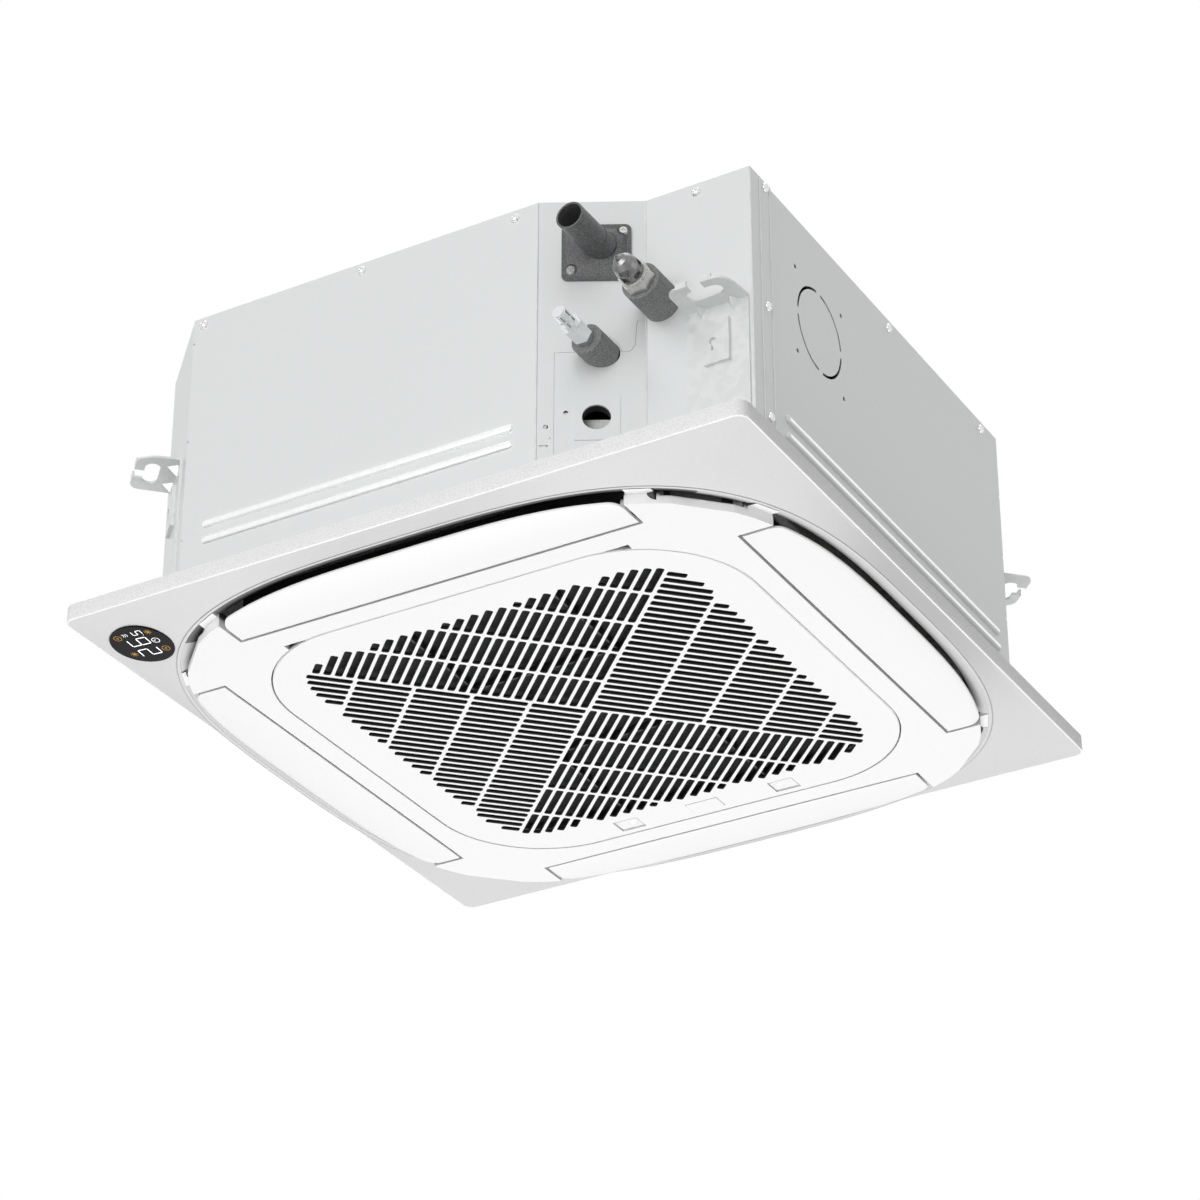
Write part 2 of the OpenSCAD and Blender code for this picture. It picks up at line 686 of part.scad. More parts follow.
// Foam drain pan with coil trough, fan opening and four air slots
module drain_pan() {
    color([0.88, 0.88, 0.86]) difference() {
        translate([0, 0, body_low]) linear_extrude(pan_top - body_low) difference() {
            polygon(closed_inset(outline, sheet + seat));
            circle(pan_hole_r, $fn = 96);
            for (a = [0, 90, 270]) rotate([0, 0, a])
                translate([-duct_half, duct_in]) square([2 * duct_half, duct_w]);
            translate([-duct_half, -duct_in - duct_w]) square([duct_half + duct_short, duct_w]);
        }
        translate([0, 0, trough_z]) linear_extrude(20) difference() {
            round_square(coil_half + 4, coil_corner + 4);
            round_square(coil_half - coil_t - 5, coil_corner - coil_t - 5);
        }
        translate([0, 0, body_low - 1]) cylinder(r = bell_r + 1, h = 3.5, $fn = 96);
        translate([box_lo[0] - 4, box_lo[1] - 3, body_low - 1])
            cube([box_size[0] + 8, box_size[1] + 7, 1.2]);
        screw_holes(screw_r + 0.45);
        on_pipe_face(-12) linear_extrude(14) {
            for (x = [8, pipe_len - 12]) translate([x, hanger_z0 + 2]) square([8, 90]);
            translate([cable_s, cable_z]) circle(cable_r + 5.5);
        }
        for (x = [-1, 1], y = [-1, 1]) {
            translate([x * lug_at, y * lug_at, body_low - 1]) cylinder(r = m6_r + seat, h = 24);
            translate([x * bell_screw_at, y * bell_screw_at, body_low])
                cylinder(r = screw_hole_r + seat / 2, h = 16);
        }
    }
}

// Ring that leads the air into the fan: outer, step and throat radii
bell_r = fan_r + 21;
bell_step = fan_r - 18;
throat_r = 0.6958 * fan_r;
throat_top = pan_top - 4;

module bell_mouth() {
    color([0.16, 0.16, 0.17]) difference() {
        rotate_extrude($fn = 96) polygon([[bell_r, bell_z], [bell_r, bell_z + 2], [bell_step, bell_z + 2],
            [throat_r + 16.2, body_low + 9], [throat_r + 6.2, body_low + 22], [throat_r + 2.2, throat_top],
            [throat_r, throat_top], [throat_r + 4, body_low + 21], [throat_r + 14.6, body_low + 7.4],
            [bell_step - 1, bell_z]]);
        for (x = [-1, 1], y = [-1, 1]) translate([x * bell_screw_at, y * bell_screw_at, bell_z - 1])
            cylinder(r = screw_hole_r + seat / 2, h = 6);
    }
}

module bell_screws() {
    color([0.8, 0.8, 0.78]) for (x = [-1, 1], y = [-1, 1])
        translate([x * bell_screw_at, y * bell_screw_at, bell_z]) rotate([180, 0, 0]) case_screw(12);
}

// Fan motor: body and flange radii, bolt circle, lower end and seat under the dish
motor_r = 0.34 * fan_r;
motor_flange_r = 0.45 * fan_r;
motor_bolt_at = 0.4 * fan_r;
motor_z = body_top - 124;
dish_z = body_top - 6;

module motor_bolt_holes(r) {
    for (a = [45 : 90 : 315]) rotate([0, 0, a]) translate([motor_bolt_at, 0, dish_z - 10])
        cylinder(r = r, h = 14);
}

// Fan motor hanging from the dish in the top sheet
module fan_motor() {
    color([0.32, 0.33, 0.34]) difference() {
        union() {
            translate([0, 0, motor_z]) rotate_extrude($fn = 64) polygon([[0, 0], [motor_r - 6, 0],
                [motor_r, 6], [motor_r, 100], [motor_r - 4, 106], [motor_r - 4, 113], [0, 113]]);
            translate([0, 0, dish_z - 5]) cylinder(r = motor_flange_r, h = 5, $fn = 64);
        }
        for (a = [0 : 20 : 340]) rotate([0, 0, a]) translate([motor_r - 1.5, -1.5, motor_z + 14])
            cube([4, 3, 78]);
        translate([0, 0, motor_z - 1]) cylinder(r = shaft_r + play, h = 31);
        motor_bolt_holes(m6_hole_r);
    }
}

module motor_bolts() {
    color([0.75, 0.75, 0.73]) for (a = [45 : 90 : 315]) rotate([0, 0, a])
        translate([motor_bolt_at, 0, dish_z]) {
            translate([0, 0, -7]) cylinder(r = m6_r, h = 9);
            translate([0, 0, 1]) cylinder(r = 2 * m6_r, h = 4, $fn = 6);
        }
}

module motor_shaft() {
    color([0.7, 0.7, 0.7]) translate([0, 0, motor_z - 44]) cylinder(r = shaft_r, h = 73.7);
}

// Fan: back plate height, hub bore and the shroud's radii
fan_top = motor_z + 34;
hub_bore = shaft_r + 0.03;
hub_r = motor_r + 20;
blade_in = 0.594 * fan_r;
shroud_r = throat_r + 7.2;

// Centrifugal fan: hub dome and back plate, blades, inlet shroud
module turbo_fan() {
    hub = [[hub_bore, -70], [11, -70], [11, -60], [30, -57.5], [hub_r - 16, -43], [hub_r - 7, -20],
        [hub_r, 0], [fan_r, 0], [fan_r, 3], [hub_r - 2.2, 3], [hub_r - 9.6, -18.6],
        [hub_r - 18.2, -40.6], [29, -54.4], [11, -56.8], [11, -46], [hub_bore, -46]];
    shroud = [[shroud_r, 48], [shroud_r + 2.5, 48], [shroud_r + 2.5, 60], [shroud_r + 16, 76], [fan_r, 91],
        [fan_r, 93.5], [shroud_r + 14.6, 78.4], [shroud_r, 61]];
    color([0.2, 0.2, 0.21]) {
        translate([0, 0, fan_top]) rotate_extrude($fn = 96) polygon(hub);
        rotate_extrude($fn = 96) polygon(shroud);
        intersection() {
            rotate_extrude($fn = 96) polygon([[blade_in + 2, fan_top + 1], [fan_r - 1.5, fan_top + 1],
                [fan_r - 1.5, 91.6], [shroud_r + 15.2, 77], [shroud_r + 2, 62], [blade_in + 14, 96]]);
            translate([0, 0, 58]) linear_extrude(fan_top - 54) for (i = [1 : blades])
                rotate([0, 0, 360 * i / blades]) polygon(concat(
                    [for (t = [0 : 0.125 : 1]) blade_pt(t, 0)],
                    [for (t = [1 : -0.125 : 0]) blade_pt(t, 4.2 * (1 - 0.7 * abs(2 * t - 1)))]));
        }
    }
}
// Point of a backward-curved blade at fraction t of its length, moved by w
function blade_pt(t, w) = let (r = blade_in + (fan_r - blade_in) * t, a = -34 * t - 10 * t * t)
    [r * cos(a) + w * sin(-a), r * sin(a) + w * cos(a)];

module fan_nut() {
    color([0.75, 0.75, 0.73]) translate([0, 0, fan_top - 76]) difference() {
        cylinder(r = 2 * shaft_r, h = 6, $fn = 6);
        translate([0, 0, -1]) cylinder(r = hub_bore, h = 8);
    }
}

// Tray for the controls under the pan
module electric_box() {
    w = 2;
    color([0.83, 0.84, 0.84]) difference() {
        translate(box_lo) cube(box_size);
        translate(box_lo + [w, w, -1]) cube(box_size - [2 * w, 2 * w, w - 1]);
        translate([box_lo[0] + box_size[0] - 3, box_lo[1] + 19, 4]) rotate([0, 90, 0]) cylinder(r = 6, h = 5);
    }
}

module electric_cover() {
    color([0.8, 0.81, 0.81]) {
        translate([box_lo[0], box_lo[1], box_lo[2] - 1.2]) cube([box_size[0], box_size[1], 1.2]);
        for (x = [8, box_size[0] - 18]) translate(box_lo + [x, 2.1, 0]) cube([10, 1.2, 6]);
    }
}

// Board with its parts and four standoffs, from the tray's corner
module circuit_board() {
    color([0.1, 0.35, 0.18]) translate([box_lo[0], box_lo[1], 0]) {
        translate([6, 4, 8]) cube([150, 31, 1.6]);
        for (x = [16, 42, 86, 120]) translate([x, 9, -2]) cube([14, 16, 10.4]);
        for (x = [58, 72, 106, 144]) translate([x, 23, -6]) cylinder(r = 5, h = 14.4);
        for (x = [10, 150], y = [7, 31]) translate([x, y, 9]) cylinder(r = 2, h = body_low - 11);
    }
}

module terminal_block() {
    color([0.9, 0.88, 0.8]) translate([box_lo[0] + 164, box_lo[1] + 5, 0]) difference() {
        cube([40, 24, body_low - 2]);
        for (i = [0 : 4]) translate([4 + 8 * i, 12, -1]) cylinder(r = 2.4, h = 8);
        for (i = [0 : 4]) translate([2 + 8 * i, -1, 4]) cube([4, 8, 5]);
    }
}

// Condensate pump standing on the pan
pump_at = [body_half - 39, 80 - body_half];

module drain_pump() {
    color([0.87, 0.87, 0.85]) translate([pump_at[0], pump_at[1], 0]) difference() {
        union() {
            translate([0, 0, pan_top]) cylinder(r = 24, h = 26);
            translate([0, 0, pan_top + 25]) cylinder(r = 27, h = 3);
            translate([0, 0, pan_top + 27]) cylinder(r = 18, h = 22);
            translate([-8, -14, pan_top + 20]) cylinder(r = nipple_r, h = 42);
        }
        translate([0, 0, pan_top + 2]) cylinder(r = 20, h = 18);
        translate([-8, -14, pan_top + 18]) cylinder(r = nipple_r - 1.5, h = 50);
        translate([0, 0, pan_top + 12]) cylinder(r = pump_pin_r + play, h = 14);
    }
}

module pump_impeller() {
    color([0.93, 0.93, 0.9]) translate([pump_at[0], pump_at[1], pan_top + 3]) {
        cylinder(r = 19, h = 2);
        for (a = [0 : 60 : 300]) rotate([0, 0, a]) translate([2, -0.8, 1.5]) cube([16, 1.6, 12]);
        cylinder(r = 4, h = 15.5);
        cylinder(r = pump_pin_r, h = 21);
    }
}
pump_pin_r = 2;

// Hose from the pump to the drain socket
hose_z0 = pan_top + 49.3;
module hose_run(r, over) {
    px = pump_at[0] - 8;
    py = pump_at[1] - 14;
    b = 14;
    translate([px, py, hose_z0 - over]) cylinder(r = r, h = drain_z - b - hose_z0 + over);
    translate([px - b, py, drain_z - b]) rotate([90, 0, 0]) rotate_extrude(angle = 90)
        translate([b, 0]) circle(r, $fn = 32);
    translate([drain_x + b, py, drain_z]) rotate([0, 90, 0]) cylinder(r = r, h = px - 2 * b - drain_x);
    translate([drain_x + b, py - b, drain_z]) rotate([0, 0, 90]) rotate_extrude(angle = 90)
        translate([b, 0]) circle(r, $fn = 32);
    bar_y(drain_x, drain_z, py - b, hang_y - 7.5 - over, r);
}

module drain_hose() {
    color([0.9, 0.9, 0.88]) difference() {
        hose_run(nipple_r + 2.1, 0);
        hose_run(nipple_r + 0.1, 1);
    }
}

// Float switch on the pan
float_at = [body_half - 27, 125 - body_half];
float_stem_r = 2.5;

module float_stem() {
    color([0.2, 0.2, 0.2]) translate([float_at[0], float_at[1], pan_top]) {
        cylinder(r = 7, h = 4);
        cylinder(r = float_stem_r, h = 32);
        translate([0, 0, 30]) cylinder(r = 6, h = 4);
    }
}

module float() {
    color([0.95, 0.95, 0.93]) translate([float_at[0], float_at[1], pan_top + 4.3]) difference() {
        cylinder(r = 9, h = 12);
        translate([0, 0, -1]) cylinder(r = float_stem_r + 0.3, h = 14);
    }
}

// A stack of rounded squares [half, z] from low to high, all of exponent n
module super_stack(profile, n) {
    k = ring_steps;
    m = len(profile);
    polyhedron(
        points = [for (p = profile) for (q = super_pts(p[0], n)) [q[0], q[1], p[1]]],
        faces = concat([[for (i = [0 : k - 1]) i]],
            [for (j = [0 : m - 2]) for (i = [0 : k - 1])
                [j * k + i, (j + 1) * k + i, (j + 1) * k + (i + 1) % k, j * k + (i + 1) % k]],
            [[for (i = [k - 1 : -1 : 0]) (m - 1) * k + i]]));
}

// Flared opening of the ring, made smaller by d
neck_t = 3.5;
module ring_bore(d) {
    super_stack([[lip_half - 1.5 - d, lip_z - 1], [lip_half - 2 - d, lip_z],
        [lip_half - 10 - d, lip_z + 6], [lip_half - 16 - d, lip_z + 14.5],
        [lip_half - 19 - d, -2], [lip_half - neck_t - 16 - d, neck_top + 1]], lip_n);
}

// Place of the display on the sloping corner: local z points out of the face
module at_display() {
    translate([42.4 - panel_half, 51.7 - panel_half, -20.6]) rotate([0, 180 - 5.9, 225]) children();
}
display_r = 26.7;

module panel_frame() {
    color([0.95, 0.95, 0.95]) difference() {
        union() {
            hull() {
                translate([0, 0, -rim_h]) linear_extrude(rim_h, $fn = 32)
                    round_square(panel_half, panel_corner);
                super_slab(lip_half, lip_n, lip_z, lip_z + 0.1);
            }
            super_slab(lip_half - 16, lip_n, -1, neck_top);
        }
        translate([0, 0, plate_t - rim_h]) linear_extrude(rim_h) difference() {
            round_square(panel_half - 6, 6);
            polygon(super_pts(lip_half - 12.5, lip_n));
        }
        ring_bore(0);
        at_display() translate([0, 0, -6]) cylinder(r = display_r + 0.2, h = 9);
    }
}

module panel_gasket() {
    color([0.15, 0.15, 0.15]) difference() {
        super_slab(lip_half - 16.2, lip_n, neck_top, body_low);
        super_slab(lip_half - neck_t - 15.9, lip_n, neck_top - 1, body_low + 1);
    }
}

module display_module() {
    color([0.1, 0.1, 0.1]) at_display() translate([0, 0, -6]) cylinder(r = display_r - 0.8, h = 5);
}

module display_lens() {
    color([0.03, 0.03, 0.03]) at_display() translate([0, 0, -1]) cylinder(r = display_r, h = 1.7);
}

// Middle part: face round the grille, duct wall, ribs to the ring, ears and hinges
module centre_frame() {
    color([0.96, 0.96, 0.96]) difference() {
        union() {
            translate([0, 0, face_z]) linear_extrude(plate_t) difference() {
                polygon(super_pts(mid_half, mid_n));
                bays(bay_in);
                round_square(open_half, grille_corner + open_gap);
            }
            translate([0, 0, face_z]) linear_extrude(12.5) difference() {
                polygon(super_pts(mid_half, mid_n));
                polygon(super_pts(mid_half - 5, mid_n));
                bays(bay_in - 60);
            }
            translate([0, 0, face_z]) linear_extrude(neck_top - face_z) difference() {
                round_square(bay_in, bay_corner);
                round_square(bay_in - plate_t, bay_corner - plate_t);
            }
            translate([0, 0, face_z]) linear_extrude(10.5) difference() {
                round_square(open_half + plate_t, grille_corner + open_gap + plate_t);
                round_square(open_half, grille_corner + open_gap);
            }
            intersection() {
                ring_bore(0.1);
                translate([0, 0, lip_z - 0.1]) linear_extrude(36)
                    for (a = [0 : 90 : 270]) rotate([0, 0, a]) for (s = [-1, 1])
                        translate([s * (bay_half + 12) - 10, -lip_half]) square([20, lip_half - bay_in + 1]);
            }
            for (a = [0 : 90 : 270]) rotate([0, 0, a]) for (s = [-1, 1])
                translate([s * (bay_half + 1.25) - 1.25, -pivot_y - 10.7, face_z])
                    cube([2.5, pivot_y + 11.7 - bay_in, 14]);
            for (a = [45 : 90 : 315]) rotate([0, 0, a]) {
                translate([lug_at * sqrt(2), 0, 8]) cylinder(r = 9, h = 10);
                translate([lug_at * sqrt(2), -9, 8]) cube([17.5, 18, 7]);
            }
            for (x = [-1, 1]) {
                translate([x * hinge_x - 3, hinge_y - 0.6, hinge_z - 0.1]) cube([6, 3.6, 9.1]);
                translate([x * hinge_x - 3, -open_half - 1, face_z + 8.9]) cube([6, 10, 3.5]);
                translate([x * hinge_x - 8, hinge_y, hinge_z]) rotate([0, 90, 0])
                    cylinder(r = hinge_pin_r, h = 16);
            }
        }
        for (a = [0 : 90 : 270]) rotate([0, 0, a]) {
            translate([-bay_half - 3.5, -pivot_y, pivot_z]) rotate([0, 90, 0])
                cylinder(r = pin_r + play, h = 2 * bay_half + 7);
            translate([bay_half + 3, -pivot_y, pivot_z]) rotate([0, 90, 0]) cylinder(r = 5.8, h = 19);
        }
        for (a = [45 : 90 : 315]) rotate([0, 0, a]) {
            translate([lug_at * sqrt(2), 0, 7]) cylinder(r = m6_r + seat, h = 12);
            outlet_step();
        }
        for (x = [-1, 1]) translate([x * (swing_cut[0] + swing_cut[1]) / 2, hinge_y, hinge_z])
            rotate([0, 90, 0]) cylinder(r = swing_r, h = swing_cut[1] - swing_cut[0], center = true);
    }
}

// Round relief in the opening's edge for the grille's corners as they swing: its ends and radius
swing_cut = [hinge_x + 10, hinge_x + 38.5];
swing_r = hinge_z - face_z + 1.3;

// Plan of the four flap bays, cut from distance d outward
module bays(d) {
    for (a = [0 : 90 : 270]) rotate([0, 0, a]) translate([-bay_half, -panel_half])
        square([2 * bay_half, panel_half - d]);
}

// Corner outlet in the middle part's edge: the wall steps back and ends low, drawn along local x
module outlet_step() {
    w = 33;
    edge = super_r(45, mid_half, mid_n);
    translate([edge - 2.5, -w, face_z - 1]) cube([20, 2 * w, 20]);
    translate([edge - 14, -w, face_z + 7]) cube([30, 2 * w, 12]);
}

// Lower side of a flap's section, from its inner to its outer edge
flap_line = [[-flap_in, face_z], [25.5 - mid_half, face_z + 0.1], [12.5 - mid_half, face_z + 1.5],
    [-mid_half, face_z + 4.5]];

// A flap with its pins on the -Y side
module flap() {
    t = flap_t;
    color([0.97, 0.97, 0.97]) {
        intersection() {
            translate([-flap_half, 0, 0]) rotate([90, 0, 90]) linear_extrude(2 * flap_half)
                polygon(concat(flap_line, [for (q = reversed(flap_line)) q + [0, t]]));
            translate([0, 0, face_z - 1]) linear_extrude(12) polygon(super_pts(mid_half, mid_n));
        }
        for (s = [-1, 1]) {
            translate([s * (flap_half - 3) - 2, -pivot_y - 5, face_z + 1]) cube([4, 10, 7.5]);
            translate([s * (flap_half - 3) - 2, -pivot_y, pivot_z]) rotate([0, 90, 0])
                cylinder(r = 5, h = 4);
            translate([s * (flap_half + 1.1) - 4.1, -pivot_y, pivot_z]) rotate([0, 90, 0])
                cylinder(r = pin_r, h = 8.2);
        }
    }
}

module flap_front() {
    flap();
}
module flap_right() {
    rotate([0, 0, 90]) flap();
}
module flap_back() {
    rotate([0, 0, 180]) flap();
}
module flap_left() {
    rotate([0, 0, 270]) flap();
}

module flap_motors() {
    color([0.55, 0.56, 0.57]) for (a = [0 : 90 : 270]) rotate([0, 0, a])
        translate([bay_half + 2.8, -pivot_y, pivot_z]) rotate([0, 90, 0]) {
            cylinder(r = 2, h = 3);
            translate([0, 0, 1.5]) cylinder(r = 5.7, h = 17);
        }
}

// Field of the grille slots: middle, half widths, corner radius
field_mid = [-0.9, -2.2];
field = [grille_half - 27, grille_half - 33, grille_corner - 38];
function in_field(a, b) = let (x = abs((a + b) / sqrt(2)), y = abs((b - a) / sqrt(2)),
    dx = max(x - field[0] + field[2], 0), dy = max(y - field[1] + field[2], 0))
    dx * dx + dy * dy <= field[2] * field[2];
function reach(b, lo, hi, n) = n == 0 ? lo : let (m = (lo + hi) / 2)
    in_field(m, b) ? reach(b, m, hi, n - 1) : reach(b, lo, m, n - 1);
slot_first = (rib_w + gslot_w) / 2;
slot_rows = ceil(1.2 * grille_half / slot_pitch);
slot_parts = ceil(1.3 * grille_half / rib_pitch);

// Step that the slots' lengths are rounded down to
length_step = 0.02;

// Slots of one quarter, with local x along the slots
module slot_quarter() {
    h = gslot_w / 2;
    for (k = [0 : slot_rows]) let (b = -slot_first - k * slot_pitch,
        room = min(reach(b - h, 0, 2 * grille_half, 14), reach(b + h, 0, 2 * grille_half, 14)),
        far = length_step * floor(room / length_step))
        for (m = [0 : slot_parts]) let (s0 = m * rib_pitch + rib_w / 2,
            s1 = min((m + 1) * rib_pitch - rib_w / 2, far))
            if (s1 - s0 > gslot_w + 1.5) translate([(s0 + s1) / 2, b])
                round_rect(s1 - s0, gslot_w, gslot_r);
}

// Lift-down grille with hinge lugs, latch pockets and clips
grille_t = 3;
module grille() {
    latch_room = 2.6;
    color([0.97, 0.97, 0.97]) difference() {
        union() {
            translate([0, 0, face_z + 0.7]) linear_extrude(grille_t - 0.7)
                round_square(grille_half, grille_corner);
            translate([0, 0, face_z]) linear_extrude(1) round_square(grille_half - 0.6, grille_corner - 0.6);
            for (x = [-1, 1], s = [-1, 1])
                translate([x * hinge_x + s * 5.7 - 2.3, hinge_y - 3, face_z + 2]) cube([4.6, 6, 4.2]);
            for (s = [-1, 1]) translate([s * latch_x - 2, latch_y, face_z + 2]) {
                translate([0, -12.6, 0]) cube([4, 2.2, 3.8]);
                translate([0, 10.6, 0]) cube([4, 1.8, 3.8]);
                translate([0, -12.6, latch_room]) cube([4, 25, 1.2]);
            }
        }
        for (x = [-1, 1]) translate([x * hinge_x - 8.5, hinge_y, hinge_z]) rotate([0, 90, 0])
            cylinder(r = hinge_pin_r + play, h = 17);
        for (s = [-1, 1]) {
            translate([s * latch_x - window[0] / 2, latch_y - window[1] / 2, face_z - 1])
                cube([window[0], window[1], 5]);
            translate([s * (latch_x + 7) - 20, latch_y - 10, face_z + 1]) cube([40, 20.2, latch_room]);
            translate([s * (latch_x + 14) - 8, latch_y + 9, face_z + 1.7]) cube([16, 10, grille_t]);
        }
        for (a = [0 : 90 : 270]) translate([field_mid[0] / 2, field_mid[1] / 2, face_z - 1])
            linear_extrude(grille_t + 2) rotate(a - 45) slot_quarter();
    }
}

// A rounded oblong with half widths hx, hy and corner radius r
module rounded_oblong(hx, hy, r) {
    square([2 * hx, 2 * (hy - r)], center = true);
    square([2 * (hx - r), 2 * hy], center = true);
    for (x = [-1, 1], y = [-1, 1]) translate([x * (hx - r), y * (hy - r)]) circle(r);
}

// Filter behind the grille: half widths and shift of its frame
filter_half = [grille_half - 13, grille_half - 22];
filter_r = grille_corner - 10;
filter_y = -7;

module filter_frame() {
    color([0.25, 0.26, 0.27]) translate([0, filter_y, face_z + grille_t]) linear_extrude(6) {
        difference() {
            rounded_oblong(filter_half[0], filter_half[1], filter_r);
            rounded_oblong(filter_half[0] - 5, filter_half[1] - 5, filter_r - 5);
        }
        for (x = [-1, 1]) translate([x * filter_half[0] / 3 - 1, 4 - filter_half[1]])
            square([2, 2 * filter_half[1] - 8]);
        for (y = [-1, 1]) translate([4 - filter_half[0], y * filter_half[1] / 3 - 1])
            square([2 * filter_half[0] - 8, 2]);
    }
}

module filter_mesh() {
    color([0.05, 0.05, 0.05]) translate([0, filter_y, face_z + grille_t + 6]) linear_extrude(0.8)
        rounded_oblong(filter_half[0], filter_half[1], filter_r);
}

// Sliding latch with a thumb dimple; s is the side of the middle it lies on
latch_z = face_z + 1.3;
dimple_r = 7.4;
module latch(s) {
    color([0.96, 0.96, 0.96]) translate([s * latch_x, latch_y, latch_z]) difference() {
        union() {
            translate([s * 3 - 16, -9.7, 0]) cube([32, 19.6, 2.2]);
            translate([s * 11 - 4, 0, 0.8]) cube([8, 16.8, 1.4]);
        }
        translate([-s * 4, 0, -5.6]) sphere(r = dimple_r, $fn = 32);
    }
}
module latch_left() {
    latch(-1);
}
module latch_right() {
    latch(1);
}

module badge() {
    color([0.9, 0.9, 0.9]) translate([-0.8, latch_y, face_z - 0.4]) linear_extrude(0.4)
        round_rect(30, 16, 1.5);
}

module panel_screws() {
    color([0.75, 0.75, 0.73]) for (a = [45 : 90 : 315]) rotate([0, 0, a])
        translate([lug_at * sqrt(2), 0, 8]) {
            translate([0, 0, -4]) cylinder(r = 2 * m6_r, h = 4);
            translate([0, 0, -0.5]) cylinder(r = m6_r, h = 32);
        }
}

casing_shell();
corner_panel();
pipe_cover();
cable_plate();
cable_bush();
top_plate();
hangers();
casing_screws();
foam_liner();
top_foam();
coil_block();
coil_plates();
coil_bends();
gas_pipe();
gas_insulation();
gas_nut();
gas_cap();
liquid_pipe();
liquid_insulation();
liquid_nut();
liquid_plug();
drain_flange();
drain_screws();
drain_pan();
bell_mouth();
bell_screws();
fan_motor();
motor_bolts();
motor_shaft();
turbo_fan();
fan_nut();
electric_box();
electric_cover();
circuit_board();
terminal_block();
drain_pump();
pump_impeller();
drain_hose();
float_stem();
float();
panel_frame();
panel_gasket();
centre_frame();
flap_front();
flap_right();
flap_back();
flap_left();
flap_motors();
grille();
filter_frame();
filter_mesh();
latch_left();
latch_right();
badge();
display_module();
display_lens();
panel_screws();
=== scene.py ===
"""Ceiling cassette air conditioner: finishes, display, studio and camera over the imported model."""

import logging
import math
from dataclasses import dataclass
from enum import Enum

import bmesh
import bpy
from mathutils import Matrix, Vector


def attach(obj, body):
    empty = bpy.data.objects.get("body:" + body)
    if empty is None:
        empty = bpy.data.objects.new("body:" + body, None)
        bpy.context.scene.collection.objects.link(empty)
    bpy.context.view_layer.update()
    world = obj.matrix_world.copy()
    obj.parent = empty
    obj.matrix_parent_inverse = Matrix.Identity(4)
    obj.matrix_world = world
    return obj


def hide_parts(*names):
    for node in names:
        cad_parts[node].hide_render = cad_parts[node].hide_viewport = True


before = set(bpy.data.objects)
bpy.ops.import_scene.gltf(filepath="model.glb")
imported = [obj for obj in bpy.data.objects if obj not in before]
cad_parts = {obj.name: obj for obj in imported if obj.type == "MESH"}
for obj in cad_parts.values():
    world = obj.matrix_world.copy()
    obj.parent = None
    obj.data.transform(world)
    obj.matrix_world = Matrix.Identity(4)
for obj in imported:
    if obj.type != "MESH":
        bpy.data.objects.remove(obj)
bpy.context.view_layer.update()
log = logging.getLogger("cassette")

# Sizes are in millimetres, and each mesh is scaled to metres once
MM = 0.001
CASING_HALF = 285.0
GRILLE_Z = -32.5
BUMP_DEPTH = 0.2
GLOSS_SWING = 0.06

Point = tuple[float, float, float]
Colour = tuple[float, float, float]
Pair = tuple[float, float]


class Surface(Enum):
    """Kinds of surface grain that a finish can carry."""

    CELLS = "cells"
    MOULDED = "moulded"
    BRUSHED = "brushed"
    SPECKLED = "speckled"


